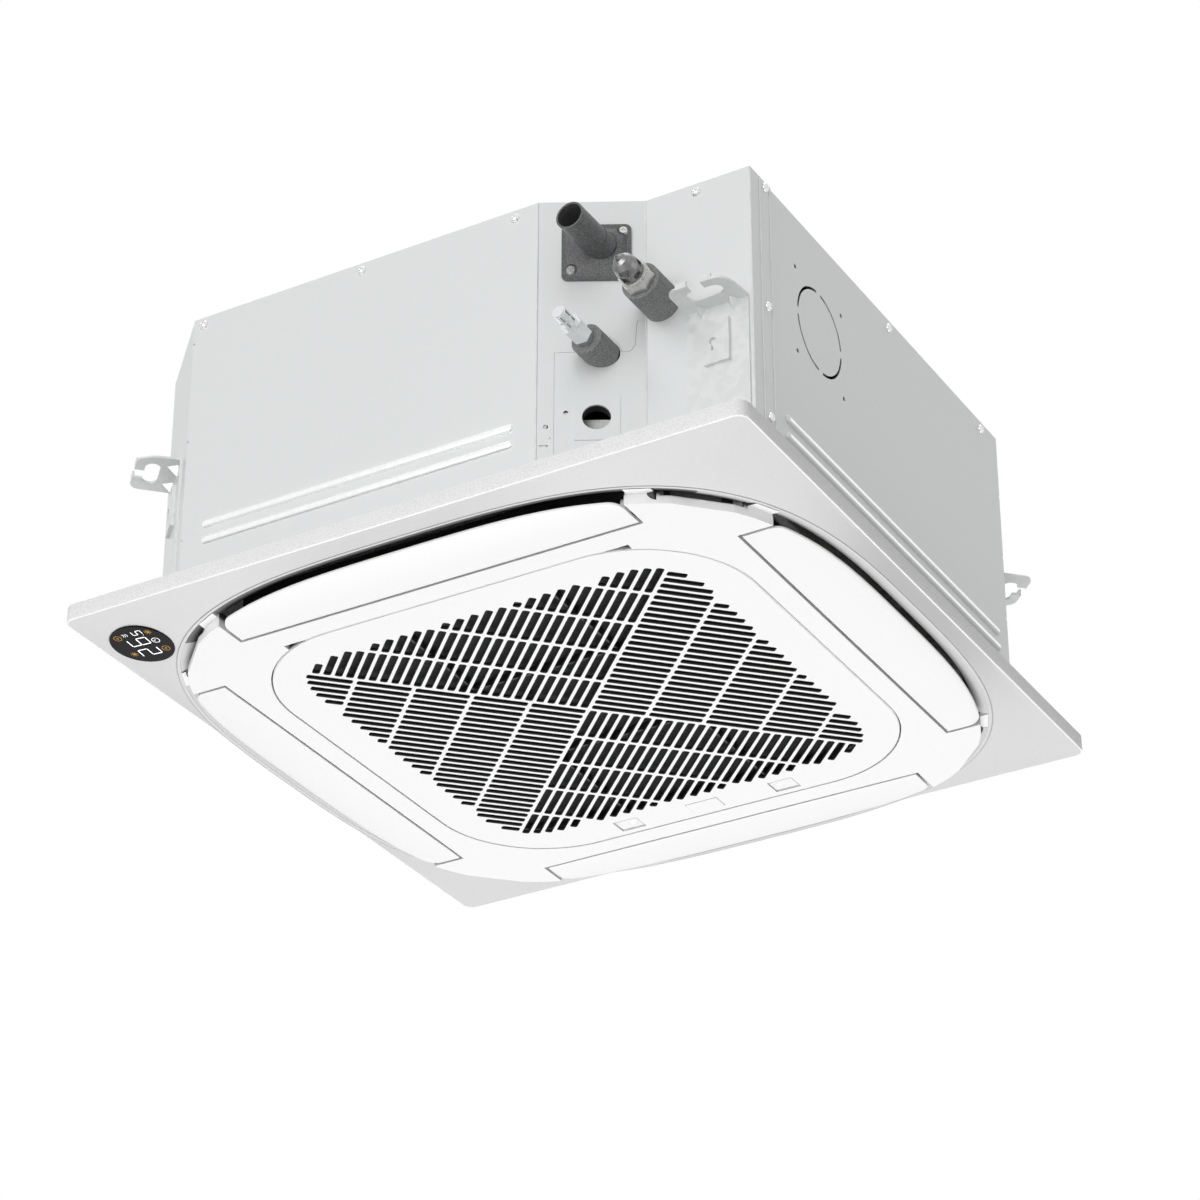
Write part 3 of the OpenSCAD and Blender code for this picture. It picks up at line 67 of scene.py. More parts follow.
class Nodes:
    """A node tree that is filled one node at a time."""

    def __init__(self, tree: bpy.types.NodeTree) -> None:
        """Takes the tree that the nodes go into."""
        self.tree = tree

    def give(self, socket: bpy.types.NodeSocket, value: object) -> None:
        """Links an input to another node's socket, or sets it to a plain value.

        Args:
            socket: The input.
            value: The socket or value that it gets.
        """
        if isinstance(value, bpy.types.NodeSocket):
            self.tree.links.new(value, socket)
        else:
            socket.default_value = value

    def fill(self, node: bpy.types.Node, **inputs: object) -> bpy.types.Node:
        """Gives a node its inputs by name.

        Args:
            node: The node.
            inputs: A socket or value for each input, with underscores for spaces.

        Returns:
            The same node.
        """
        for key, value in inputs.items():
            self.give(node.inputs[key.replace("_", " ")], value)
        return node

    def add(self, kind: str, **inputs: object) -> bpy.types.Node:
        """Adds a node of a kind with its inputs by name."""
        return self.fill(self.tree.nodes.new(kind), **inputs)

    def shade(self, **inputs: object) -> None:
        """Gives the material's shader its inputs by name."""
        self.fill(self.tree.nodes["Principled BSDF"], **inputs)

    def reckon(self, deed: str, *values: object, clamp: bool = False) -> bpy.types.NodeSocket:
        """Adds a math node.

        Args:
            deed: The node's operation.
            values: Sockets and plain numbers in the order of its inputs.
            clamp: Whether the result is kept between 0 and 1.

        Returns:
            The result.
        """
        node = self.add("ShaderNodeMath")
        node.operation, node.use_clamp = deed, clamp
        for socket, value in zip(node.inputs, values):
            self.give(socket, value)
        return node.outputs[0]

    def ramp(self, value: bpy.types.NodeSocket, *stops: tuple[float, Colour]) -> bpy.types.NodeSocket:
        """Adds a colour ramp.

        Args:
            value: The grey value that picks the colour.
            stops: Position and colour of the two ends.

        Returns:
            The colour.
        """
        node = self.add("ShaderNodeValToRGB", Fac=value)
        for end, (position, colour) in zip(node.color_ramp.elements, stops):
            end.position, end.color = position, (*colour, 1.0)
        return node.outputs["Color"]

    def bump(self, height: bpy.types.NodeSocket, strength: float) -> bpy.types.NodeSocket:
        """Adds a fine bump and returns its normal."""
        node = self.add("ShaderNodeBump", Strength=strength, Distance=BUMP_DEPTH * MM, Height=height)
        return node.outputs["Normal"]

    def by_ray(self, hidden: float, seen: float) -> bpy.types.NodeSocket:
        """Adds a strength that depends on the kind of ray.

        Args:
            hidden: Strength for rays that only carry light.
            seen: Strength for camera, glossy and transmitted rays.

        Returns:
            The strength.
        """
        path = self.add("ShaderNodeLightPath").outputs
        total: bpy.types.NodeSocket = path["Is Camera Ray"]
        for name in ("Is Glossy Ray", "Is Transmission Ray"):
            total = self.reckon("ADD", total, path[name], clamp=True)
        level = self.add("ShaderNodeMapRange", Value=total, To_Min=hidden, To_Max=seen)
        return level.outputs["Result"]


@dataclass(frozen=True)
class Dressing:
    """A surface that becomes a material once and is then found by its name."""

    name: str

    def build(self) -> bpy.types.Material:
        """Builds the material, or finds it if it is there already.

        Returns:
            The Blender material.
        """
        known = bpy.data.materials.get(self.name)
        if known is not None:
            return known
        mat = bpy.data.materials.new(self.name)
        mat.use_nodes = True
        self._dress(mat, Nodes(mat.node_tree))
        return mat

    def _dress(self, mat: bpy.types.Material, nodes: Nodes) -> None:
        """Fills in the new material, each kind of surface in its own way."""
        raise NotImplementedError


@dataclass(frozen=True)
class Finish(Dressing):
    """A painted, moulded or bare surface, made as a node material on Object coordinates."""

    colour: Colour
    roughness: float
    metallic: float
    surface: Surface
    variation: float
    grain_mm: float
    bump: float
    specular: float = 0.5

    def _dress(self, mat: bpy.types.Material, nodes: Nodes) -> None:
        """Lets the grain change colour, gloss and height a little.

        Args:
            mat: The new material.
            nodes: Its nodes.
        """
        mat.diffuse_color = (*self.colour, 1.0)
        grain = self._grain(nodes)
        dark = tuple(c * (1.0 - self.variation) for c in self.colour)
        light = tuple(min(1.0, c * (1.0 + self.variation)) for c in self.colour)
        gloss = nodes.add("ShaderNodeMapRange", Value=grain,
                          To_Min=max(0.05, self.roughness - GLOSS_SWING),
                          To_Max=min(1.0, self.roughness + GLOSS_SWING))
        nodes.shade(Metallic=self.metallic, Specular_IOR_Level=self.specular,
                    Base_Color=nodes.ramp(grain, (0.3, dark), (0.7, light)),
                    Roughness=gloss.outputs["Result"], Normal=nodes.bump(grain, self.bump))

    def _grain(self, nodes: Nodes) -> bpy.types.NodeSocket:
        """Adds the texture that carries the surface's grain.

        Args:
            nodes: The material's nodes.

        Returns:
            A grey value from 0 to 1.
        """
        place = nodes.add("ShaderNodeTexCoord").outputs["Object"]
        scale = 1.0 / (self.grain_mm * MM)
        if self.surface is Surface.CELLS:
            cells = nodes.add("ShaderNodeTexVoronoi", Vector=place, Scale=scale)
            return nodes.add("ShaderNodeSeparateColor", Color=cells.outputs["Color"]).outputs["Red"]
        if self.surface is Surface.BRUSHED:
            stretch = nodes.add("ShaderNodeMapping", Vector=place, Scale=(1.0, 0.08, 1.0))
            place = stretch.outputs["Vector"]
        noise = nodes.add("ShaderNodeTexNoise", Vector=place, Scale=scale, Detail=3.0).outputs["Fac"]
        if self.surface is Surface.SPECKLED:
            sharp = nodes.add("ShaderNodeMapRange", Value=noise, From_Min=0.36, From_Max=0.56)
            return sharp.outputs["Result"]
        return noise


@dataclass(frozen=True)
class OutletFinish(Dressing):
    """White moulding that darkens with height into the felt of an air outlet."""

    light: float
    dark: float
    start: float
    end: float
    keep_ribs: bool = False
    rib: Pair = (185.5, 206.5)
    inside: float = 236.0
    roughness: float = 0.65
    speckle: float = 0.16
    speckle_mm: float = 0.7
    bump: float = 0.15

    def _dress(self, mat: bpy.types.Material, nodes: Nodes) -> None:
        """Darkens the colour between the start and end heights, with a speckled border.

        Args:
            mat: The new material.
            nodes: Its nodes.
        """
        place = nodes.add("ShaderNodeTexCoord").outputs["Object"]
        at = nodes.add("ShaderNodeSeparateXYZ", Vector=place).outputs
        depth = nodes.add("ShaderNodeMapRange", Value=at["Z"], From_Min=self.start * MM,
                          From_Max=self.end * MM)
        depth.interpolation_type = "SMOOTHSTEP"
        amount: bpy.types.NodeSocket = depth.outputs["Result"]
        if self.keep_ribs:
            amount = nodes.reckon("MULTIPLY", amount, self._between_ribs(nodes, at["X"], at["Y"]))
        noise = nodes.add("ShaderNodeTexNoise", Vector=place, Scale=1.0 / (self.speckle_mm * MM))
        speckle = noise.outputs["Fac"]
        grain = nodes.reckon("MULTIPLY_ADD", speckle, self.speckle, -self.speckle / 2)
        amount = nodes.reckon("ADD", amount, grain)
        ends = (0.0, (self.light,) * 3), (1.0, (self.dark,) * 3)
        nodes.shade(Roughness=self.roughness, Normal=nodes.bump(speckle, self.bump),
                    Base_Color=nodes.ramp(amount, *ends))

    def _between_ribs(self, nodes: Nodes, x: bpy.types.NodeSocket,
                      y: bpy.types.NodeSocket) -> bpy.types.NodeSocket:
        """Adds a mask of the air outlets, without their end ribs and the grille's border.

        Args:
            nodes: The material's nodes.
            x: First object coordinate.
            y: Second object coordinate.

        Returns:
            1 in the outlets and 0 elsewhere.
        """
        x, y = nodes.reckon("ABSOLUTE", x), nodes.reckon("ABSOLUTE", y)
        near, far = nodes.reckon("MINIMUM", x, y), nodes.reckon("MAXIMUM", x, y)
        below = nodes.reckon("LESS_THAN", near, self.rib[0] * MM)
        above = nodes.reckon("GREATER_THAN", near, self.rib[1] * MM)
        outside = nodes.reckon("GREATER_THAN", far, self.inside * MM)
        return nodes.reckon("MULTIPLY", nodes.reckon("ADD", below, above), outside)


@dataclass(frozen=True)
class Glow(Dressing):
    """A lit mark of the display."""

    colour: Colour
    strength: float

    def _dress(self, mat: bpy.types.Material, nodes: Nodes) -> None:
        """Lights the mark in its colour."""
        colour = (*self.colour, 1.0)
        nodes.shade(Base_Color=colour, Emission_Color=colour, Emission_Strength=self.strength)


@dataclass(frozen=True)
class FloorFinish(Dressing):
    """Pale floor that looks brighter to the camera than it lights the object."""

    grey: float
    glow: float

    def _dress(self, mat: bpy.types.Material, nodes: Nodes) -> None:
        """Adds the glow that only the camera and reflections see."""
        nodes.shade(Base_Color=(self.grey, self.grey, self.grey, 1.0), Roughness=0.9,
                    Emission_Color=(1.0, 1.0, 1.0, 1.0), Emission_Strength=nodes.by_ray(0.0, self.glow))


GALVANISED = Finish("galvanised_sheet", (0.462, 0.485, 0.477), 0.5, 0.05, Surface.CELLS,
                    0.035, 6.0, 0.015, specular=0.12)
BRIGHT_SHEET = Finish("bright_bracket", (0.8, 0.82, 0.81), 0.35, 0.3, Surface.CELLS, 0.02, 6.0, 0.01)
BEAD_STEEL = Finish("bright_bead", (0.95, 0.96, 0.955), 0.2, 0.85, Surface.MOULDED, 0.02, 5.0, 0.02)
CHROME = Finish("bright_fitting", (0.78, 0.79, 0.8), 0.12, 0.95, Surface.BRUSHED, 0.06, 1.2, 0.02)
SCREW = Finish("bright_screw", (0.8, 0.8, 0.8), 0.16, 0.95, Surface.BRUSHED, 0.05, 1.2, 0.02)
ZINC = Finish("zinc_plated", (0.7, 0.7, 0.68), 0.3, 0.8, Surface.BRUSHED, 0.06, 1.2, 0.03)
COPPER = Finish("copper_tube", (0.72, 0.36, 0.22), 0.3, 0.9, Surface.BRUSHED, 0.1, 1.5, 0.05)
NICKEL = Finish("nickel_brass", (0.6, 0.59, 0.57), 0.25, 0.95, Surface.BRUSHED, 0.12, 1.2, 0.04)
DARK_NICKEL = Finish("dark_nickel", (0.22, 0.22, 0.22), 0.28, 0.9, Surface.BRUSHED, 0.15, 1.2, 0.05)
FINS = Finish("fin_pack", (0.62, 0.64, 0.65), 0.4, 0.7, Surface.BRUSHED, 0.15, 1.6, 0.2)
WHITE = Finish("white_moulding", (0.9, 0.9, 0.9), 0.45, 0.0, Surface.MOULDED, 0.012, 0.5, 0.05)
WHITE_RIM = Finish("white_rim", (0.93, 0.93, 0.93), 0.6, 0.0, Surface.SPECKLED, 0.07, 1.1, 0.3)
BORDER = Finish("white_border", (0.68, 0.68, 0.68), 0.6, 0.0, Surface.SPECKLED, 0.03, 0.7, 0.15)
GROOVE = Finish("lip_groove", (0.42, 0.42, 0.42), 0.6, 0.0, Surface.MOULDED, 0.08, 0.7, 0.1)
SEAM = Finish("fine_seam", (0.22, 0.22, 0.22), 0.6, 0.0, Surface.MOULDED, 0.1, 1.0, 0.0)
SLOT_BLACK = Finish("slot_black", (0.014, 0.014, 0.015), 0.75, 0.0, Surface.MOULDED, 0.1, 1.0, 0.0)
DARK = Finish("dark_moulding", (0.035, 0.036, 0.038), 0.5, 0.0, Surface.MOULDED, 0.2, 0.8, 0.1)
RUBBER = Finish("black_rubber", (0.02, 0.02, 0.02), 0.7, 0.0, Surface.MOULDED, 0.2, 1.0, 0.1)
BOARD = Finish("circuit_green", (0.03, 0.16, 0.07), 0.4, 0.0, Surface.MOULDED, 0.15, 2.0, 0.05)
GLASS_BLACK = Finish("black_lens", (0.006, 0.006, 0.007), 0.12, 0.0, Surface.MOULDED,
                     0.02, 6.0, 0.0, specular=0.12)
GREY_SOCKET = Finish("grey_socket", (0.13, 0.132, 0.135), 0.45, 0.0, Surface.CELLS, 0.45, 0.4, 0.12)
BLACK_MESH = Finish("black_filter", (0.012, 0.012, 0.013), 0.7, 0.0, Surface.CELLS, 0.5, 1.4, 0.4)
FOAM = Finish("pipe_foam", (0.25, 0.255, 0.253), 0.8, 0.0, Surface.CELLS, 0.35, 0.45, 0.2)
PAN = Finish("white_bead_foam", (0.78, 0.78, 0.76), 0.8, 0.0, Surface.CELLS, 0.05, 3.0, 0.4)
WHITE_LIGHT = Glow("white_digit", (0.95, 0.97, 1.0), 0.9)
AMBER_LIGHT = Glow("amber_mark", (0.6, 0.3, 0.04), 0.35)
MIDDLE = OutletFinish("middle_moulding", 0.9, 0.03, -27.5, -22.5, keep_ribs=True)
RING_WALL = OutletFinish("ring_wall", 0.66, 0.03, -23.6, -11.0)
FRONT_WALL = OutletFinish("ring_wall_front", 0.16, 0.015, -23.2, -18.5)

FINISH_OF_NODE: dict[Dressing, tuple[str, ...]] = {
    MIDDLE: ("centre_frame",),
    GALVANISED: ("casing_shell", "corner_panel", "pipe_cover", "cable_plate", "top_plate",
                 "electric_box", "electric_cover"),
    BRIGHT_SHEET: ("hangers",),
    ZINC: ("casing_screws", "drain_screws", "bell_screws", "motor_bolts", "motor_shaft", "fan_nut",
           "fan_motor", "panel_screws"),
    WHITE: ("flap_front", "flap_right", "flap_back", "flap_left", "grille", "latch_left",
            "latch_right", "badge", "drain_pump", "pump_impeller", "float", "terminal_block"),
    WHITE_RIM: ("panel_frame",),
    GLASS_BLACK: ("display_lens",),
    DARK: ("display_module", "bell_mouth", "turbo_fan", "flap_motors", "filter_frame", "float_stem",
           "drain_hose"),
    GREY_SOCKET: ("drain_flange",),
    BLACK_MESH: ("filter_mesh",),
    PAN: ("drain_pan",),
    FOAM: ("foam_liner", "top_foam", "gas_insulation", "liquid_insulation"),
    RUBBER: ("cable_bush", "panel_gasket"),
    COPPER: ("gas_pipe", "liquid_pipe", "coil_bends"),
    NICKEL: ("gas_nut",),
    CHROME: ("liquid_nut", "liquid_plug"),
    DARK_NICKEL: ("gas_cap",),
    FINS: ("coil_block", "coil_plates"),
    BOARD: ("circuit_board",),
}


def dress_nodes() -> None:
    """Gives every carried-over CAD node its finish."""
    for finish, names in FINISH_OF_NODE.items():
        mat = finish.build()
        for name in names:
            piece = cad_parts[name]
            piece.data.materials.clear()
            piece.data.materials.append(mat)
    dressed = {n for names in FINISH_OF_NODE.values() for n in names}
    for name in sorted(set(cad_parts) - dressed):
        log.warning("no finish for %s", name)


def put(name: str, data: bpy.types.ID) -> bpy.types.Object:
    """Makes an object and links it to the scene.

    Args:
        name: The object's name.
        data: Its mesh, lamp or camera.

    Returns:
        The object.
    """
    thing = bpy.data.objects.new(name, data)
    bpy.context.scene.collection.objects.link(thing)
    return thing


def plain_mesh(name: str, bm: bmesh.types.BMesh) -> bpy.types.Mesh:
    """Turns a bmesh into a mesh.

    Args:
        name: The mesh's name.
        bm: The bmesh, which is freed.

    Returns:
        The mesh.
    """
    data = bpy.data.meshes.new(name)
    bm.normal_update()
    bm.to_mesh(data)
    bm.free()
    return data


def carry(name: str, data: bpy.types.Mesh, body: str) -> bpy.types.Object:
    """Makes a piece that rides on a body, and reports it.

    Args:
        name: The piece's name.
        data: Its mesh, in metres in the shared frame.
        body: The CAD body that carries the piece.

    Returns:
        The new object.
    """
    piece = put(name, data)
    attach(piece, body)
    log.info("built %s with %d faces", name, len(data.polygons))
    return piece


def mesh_piece(name: str, bm: bmesh.types.BMesh, body: str, slot: str,
               *finishes: Dressing) -> bpy.types.Object:
    """Turns a bmesh into a piece that rides on a body.

    Args:
        name: The piece's name.
        bm: The mesh, in metres in the shared frame; it is freed.
        body: The CAD body that carries the piece.
        slot: The record's material slot.
        finishes: The piece's finishes, in the order of its material slots.

    Returns:
        The new object.
    """
    data = plain_mesh(name, bm)
    for finish in finishes:
        data.materials.append(finish.build())
    return carry(name, data, body)


def line_mesh(name: str, lines: list[list[Point]], closed: bool = True) -> bpy.types.Mesh:
    """Makes a mesh of lines or points for a node group.

    Args:
        name: The mesh's name.
        lines: Points of every line in order, in millimetres.
        closed: Whether each line ends where it starts.

    Returns:
        The mesh, in metres.
    """
    points: list[Point] = []
    edges: list[tuple[int, int]] = []
    for line in lines:
        first, count = len(points), len(line)
        points += [tuple(v * MM for v in point) for point in line]
        edges += [(first + k, first + (k + 1) % count) for k in range(count if closed else count - 1)]
    data = bpy.data.meshes.new(name)
    data.from_pydata(points, edges, [])
    return data


def bridge(bm: bmesh.types.BMesh, loops: list[list[bmesh.types.BMVert]],
           closed: bool = True) -> list[bmesh.types.BMFace]:
    """Joins each loop of vertices to the next with a band of quads.

    Args:
        bm: The mesh.
        loops: Loops of equal length, in order.
        closed: Whether the end of each loop is joined to its start.

    Returns:
        The quads, band after band.
    """
    count = len(loops[0])
    steps = [(k, (k + 1) % count) for k in range(count if closed else count - 1)]
    return [bm.faces.new((a[k], b[k], b[m], a[m])) for a, b in zip(loops, loops[1:]) for k, m in steps]


def crease(bm: bmesh.types.BMesh, degrees: float = 32.0) -> None:
    """Orients a mesh, shades it smooth and keeps its sharper edges.

    Args:
        bm: The mesh.
        degrees: The smallest angle of an edge that stays sharp.
    """
    bmesh.ops.recalc_face_normals(bm, faces=bm.faces)
    limit = math.radians(degrees)
    for face in bm.faces:
        face.smooth = True
    for edge in bm.edges:
        if len(edge.link_faces) == 2:
            edge.smooth = edge.calc_face_angle(0.0) < limit


def polar(angle: float, radius: float = 1.0) -> Pair:
    """Point at an angle and a distance from the middle."""
    return radius * math.cos(angle), radius * math.sin(angle)


def super_radius(angle: float, half: float, power: float) -> float:
    """Distance to a rounded square of the given half width and exponent, along an angle."""
    c, q = abs(math.cos(angle)), abs(math.sin(angle))
    return half / (c ** power + q ** power) ** (1 / power)


def super_edge(x: float, half: float, power: float) -> float:
    """Height of a rounded square's side over the offset x along it."""
    return (half ** power - abs(x) ** power) ** (1 / power)


def square_radius(angle: float, half: float, corner: float) -> float:
    """Distance to a square with round corners, along an angle.

    Args:
        angle: The direction from the middle, in radians.
        half: Half the square's width.
        corner: Radius of its corners.

    Returns:
        The distance from the middle.
    """
    c, q = abs(math.cos(angle)), abs(math.sin(angle))
    inner = half - corner
    straight = half / max(c, q)
    if min(c, q) * straight <= inner:
        return straight
    along = inner * (c + q)
    return along + math.sqrt(max(0.0, along * along - 2 * inner * inner + corner * corner))


class Band(Enum):
    """Bands of the panel ring, numbered as its material slots."""

    RIM = 0
    BORDER = 1
    WALL = 2
    FRONT = 3
    GROOVE = 4


@dataclass
class PanelRing:
    """Square outer panel: rim, sloping border, fine double lip and the flared inner wall."""

    half: float = 310.0
    corner: float = 10.0
    rim: float = 14.0
    lip: float = 300.0
    lip_z: float = -23.5
    power: float = 3.2
    mounting: Pair = (304.0, 6.0)
    pocket: float = 2.5
    # Usual and fine step round the panel, where in a quarter the fine one goes, and half the
    # angle of the front outlet's wall, all in degrees
    coarse: float = 1.5
    fine: float = 0.25
    turn: Pair = (43.0, 47.0)
    front: float = 44.0
    # Insets from the outline, with heights over the rim's face
    rim_steps: tuple[Pair, ...] = ((0.0, 0.9), (0.25, 0.3), (0.8, 0.0))
    # Offsets from the lip's line, with heights over its lowest point
    groove_steps: tuple[Pair, ...] = ((1.2, 0.7), (0.75, 0.65))
    lip_steps: tuple[Pair, ...] = ((0.45, 0.05), (-0.2, 0.0), (-1.3, 0.0))
    flare_steps: tuple[Pair, ...] = ((-1.9, 0.25), (-2.3, 0.8), (-3.83, 1.109016), (-6.38, 2.019935),
                                     (-9.44, 3.470484), (-12.5, 5.2), (-14.4, 9.0), (-16.0, 14.5))
    # Offsets from the lip's line, with heights over the ceiling plane
    wall_steps: tuple[Pair, ...] = ((-19.0, -2.0), (-19.5, 15.0))
    back_steps: tuple[Pair, ...] = ((-16.0, 15.0), (-16.0, 0.4), (-12.5, 0.0))

    def _angles(self) -> list[float]:
        """Angles round the panel, closer together where the outline turns.

        Returns:
            The angles in radians, in rising order.
        """
        start, end = self.turn
        steps: list[float] = []
        for quarter in range(4):
            base = 90.0 * quarter
            usual = (self.coarse * i for i in range(round(90.0 / self.coarse)))
            steps += [base + a for a in usual if not start < a < end]
            steps += [base + start + self.fine * i for i in range(round((end - start) / self.fine) + 1)]
        return [math.radians(a) for a in sorted(set(steps))]

    def _section(self, angle: float) -> list[tuple[float, float, Band]]:
        """Closed section at one angle, from the rim's top round to the mounting pocket.

        Args:
            angle: The direction from the middle, in radians.

        Returns:
            Distance from the middle and height of every corner, with the band that starts there.
        """
        def outer(inset: float) -> float:
            """Distance to the outline drawn in by an inset."""
            return square_radius(angle, self.half - inset, max(1.0, self.corner - inset))

        def ring(offset: float) -> float:
            """Distance to the lip's line moved outward by an offset."""
            return super_radius(angle, self.lip + offset, self.power)

        wall = Band.FRONT if abs(math.degrees(angle) - 270.0) < self.front else Band.WALL
        section = [(outer(0.0), 0.0, Band.RIM)]
        section += [(outer(d), h - self.rim, Band.RIM) for d, h in self.rim_steps]
        top, low = (outer(1.4), -self.rim - 0.05), (ring(1.6), self.lip_z + 0.15)
        for t in (0.0, 0.2, 0.4, 0.6, 0.8, 1.0):
            distance, height = (a + (b - a) * t for a, b in zip(top, low))
            section.append((distance, height, Band.BORDER))
        for steps, base, band in ((self.groove_steps, self.lip_z, Band.GROOVE),
                                  (self.lip_steps, self.lip_z, Band.BORDER),
                                  (self.flare_steps, self.lip_z, wall),
                                  (self.wall_steps, 0.0, wall), (self.back_steps, 0.0, Band.RIM)):
            section += [(ring(d), base + h, band) for d, h in steps]
        mount = square_radius(angle, *self.mounting)
        section += [(ring(-12.5), self.pocket - self.rim, Band.RIM),
                    (mount, self.pocket - self.rim, Band.RIM), (mount, 0.0, Band.RIM)]
        return section

    def build(self) -> bpy.types.Object:
        """Builds the ring as one closed mesh that stands for the CAD panel.

        Returns:
            The ring.
        """
        bm = bmesh.new()
        loops: list[list[bmesh.types.BMVert]] = []
        bands: list[Band] = []
        for angle in self._angles():
            c, q = polar(angle)
            section = self._section(angle)
            loops.append([bm.verts.new((r * c * MM, r * q * MM, z * MM)) for r, z, _ in section])
            bands += [band for *_, band in section]
        for face, band in zip(bridge(bm, loops + loops[:1]), bands):
            face.material_index = band.value
        crease(bm)
        piece = mesh_piece("panel_ring", bm, "cassette", "white_plastic", WHITE_RIM, BORDER,
                           RING_WALL, FRONT_WALL, GROOVE)
        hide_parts("panel_frame")
        return piece


@dataclass
class Flap:
    """Outlet flap with a crowned face, round edges, lugs and pins, drawn on the -Y side and turned."""

    half: float = 182.0
    inner: float = 239.5
    outer_half: float = 287.5
    power: float = 3.5
    thickness: float = 2.2
    corner: float = 9.0
    edge: float = 0.7
    crown: float = 4.5
    crown_start: float = 254.0
    crown_width: float = 33.5
    pivot: Pair = (-255.3, -24.2)
    # Radius, start and end of the round lugs and of their pins
    pins: tuple[Point, ...] = ((4.6, 177.2, 181.0), (2.4, 179.0, 187.2))
    block: Point = (3.8, 9.0, 6.0)
    block_x: float = 179.1

    def _reach(self, x: float) -> float:
        """Distance of the outer edge, with its two corners rounded.

        Args:
            x: The offset along the flap.

        Returns:
            The distance from the panel's middle.
        """
        edge = super_edge(x, self.outer_half, self.power)
        past = abs(x) - (self.half - self.corner)
        if past > 0:
            edge -= self.corner - math.sqrt(max(0.0, self.corner ** 2 - past ** 2))
        return edge

    def _rise(self, y: float) -> float:
        """Height of the lower face over the grille's plane at distance y."""
        return self.crown * max(0.0, (y - self.crown_start) / self.crown_width) ** 2

    def _section(self, x: float) -> list[Pair]:
        """Closed section across the flap.

        Args:
            x: The offset along the flap.

        Returns:
            Distances from the panel's middle and heights.
        """
        near, far, t, r = self.inner, self._reach(x), self.thickness, self.edge
        lower = [near + r + (far - near - 2 * r) * k / 10 for k in range(11)]
        end = GRILLE_Z + self._rise(far)
        points = [(near + 0.05, GRILLE_Z + t - 0.4), (near, GRILLE_Z + r), (near + 0.2, GRILLE_Z + 0.2)]
        points += [(y, GRILLE_Z + self._rise(y)) for y in lower]
        points += [(far - 0.2, end + 0.2), (far, end + r), (far - 0.05, end + t - 0.4)]
        points += [(y, GRILLE_Z + self._rise(y) + t) for y in reversed(lower)]
        return points

    def _plate(self, bm: bmesh.types.BMesh) -> None:
        """Adds the crowned plate.

        Args:
            bm: The flap's mesh.
        """
        ends = [self.half - inset for inset in (0.0, 0.3, 1.0, 2.2, 4.0, 6.5, 9.0)]
        offsets = [-x for x in ends] + [15.0 * k for k in range(-11, 12)] + ends[::-1]
        loops = [[bm.verts.new((x, -y, z)) for y, z in self._section(x)] for x in offsets]
        bridge(bm, loops)
        bm.faces.new(loops[0][::-1])
        bm.faces.new(loops[-1])

    def _lugs(self, bm: bmesh.types.BMesh) -> None:
        """Adds the end lugs with their pins.

        Args:
            bm: The flap's mesh.
        """
        y, z = self.pivot
        for side in (-1, 1):
            for radius, start, end in self.pins:
                place = Matrix.Translation((side * (start + end) / 2, y, z))
                bmesh.ops.create_cone(bm, cap_ends=True, segments=24, radius1=radius, radius2=radius,
                                      depth=end - start,
                                      matrix=place @ Matrix.Rotation(math.radians(90), 4, "Y"))
            place = Matrix.Translation((side * self.block_x, y, (z + GRILLE_Z) / 2 + 1.0))
            bmesh.ops.create_cube(bm, size=1.0, matrix=place @ Matrix.Diagonal((*self.block, 1)))

    def build(self, name: str, node: str, body: str, turn: float) -> bpy.types.Object:
        """Builds one flap in place of its CAD node.

        Args:
            name: The piece's name.
            node: The CAD node that it stands for.
            body: The CAD body that carries it.
            turn: Its turn about the vertical axis, in degrees.

        Returns:
            The flap.
        """
        bm = bmesh.new()
        self._plate(bm)
        self._lugs(bm)
        crease(bm, 38.0)
        turned = Matrix.Scale(MM, 4) @ Matrix.Rotation(math.radians(turn), 4, "Z")
        bmesh.ops.transform(bm, verts=bm.verts, matrix=turned)
        piece = mesh_piece(name, bm, body, "white_plastic", WHITE)
        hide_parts(node)
        return piece


class Socket(Enum):
    """Named inputs of the geometry node groups."""

    SOURCE = "Geometry"
    WALL = "Wall"
    HEIGHT = "Height"
    RADIUS = "Head radius"
    DOME = "Dome height"


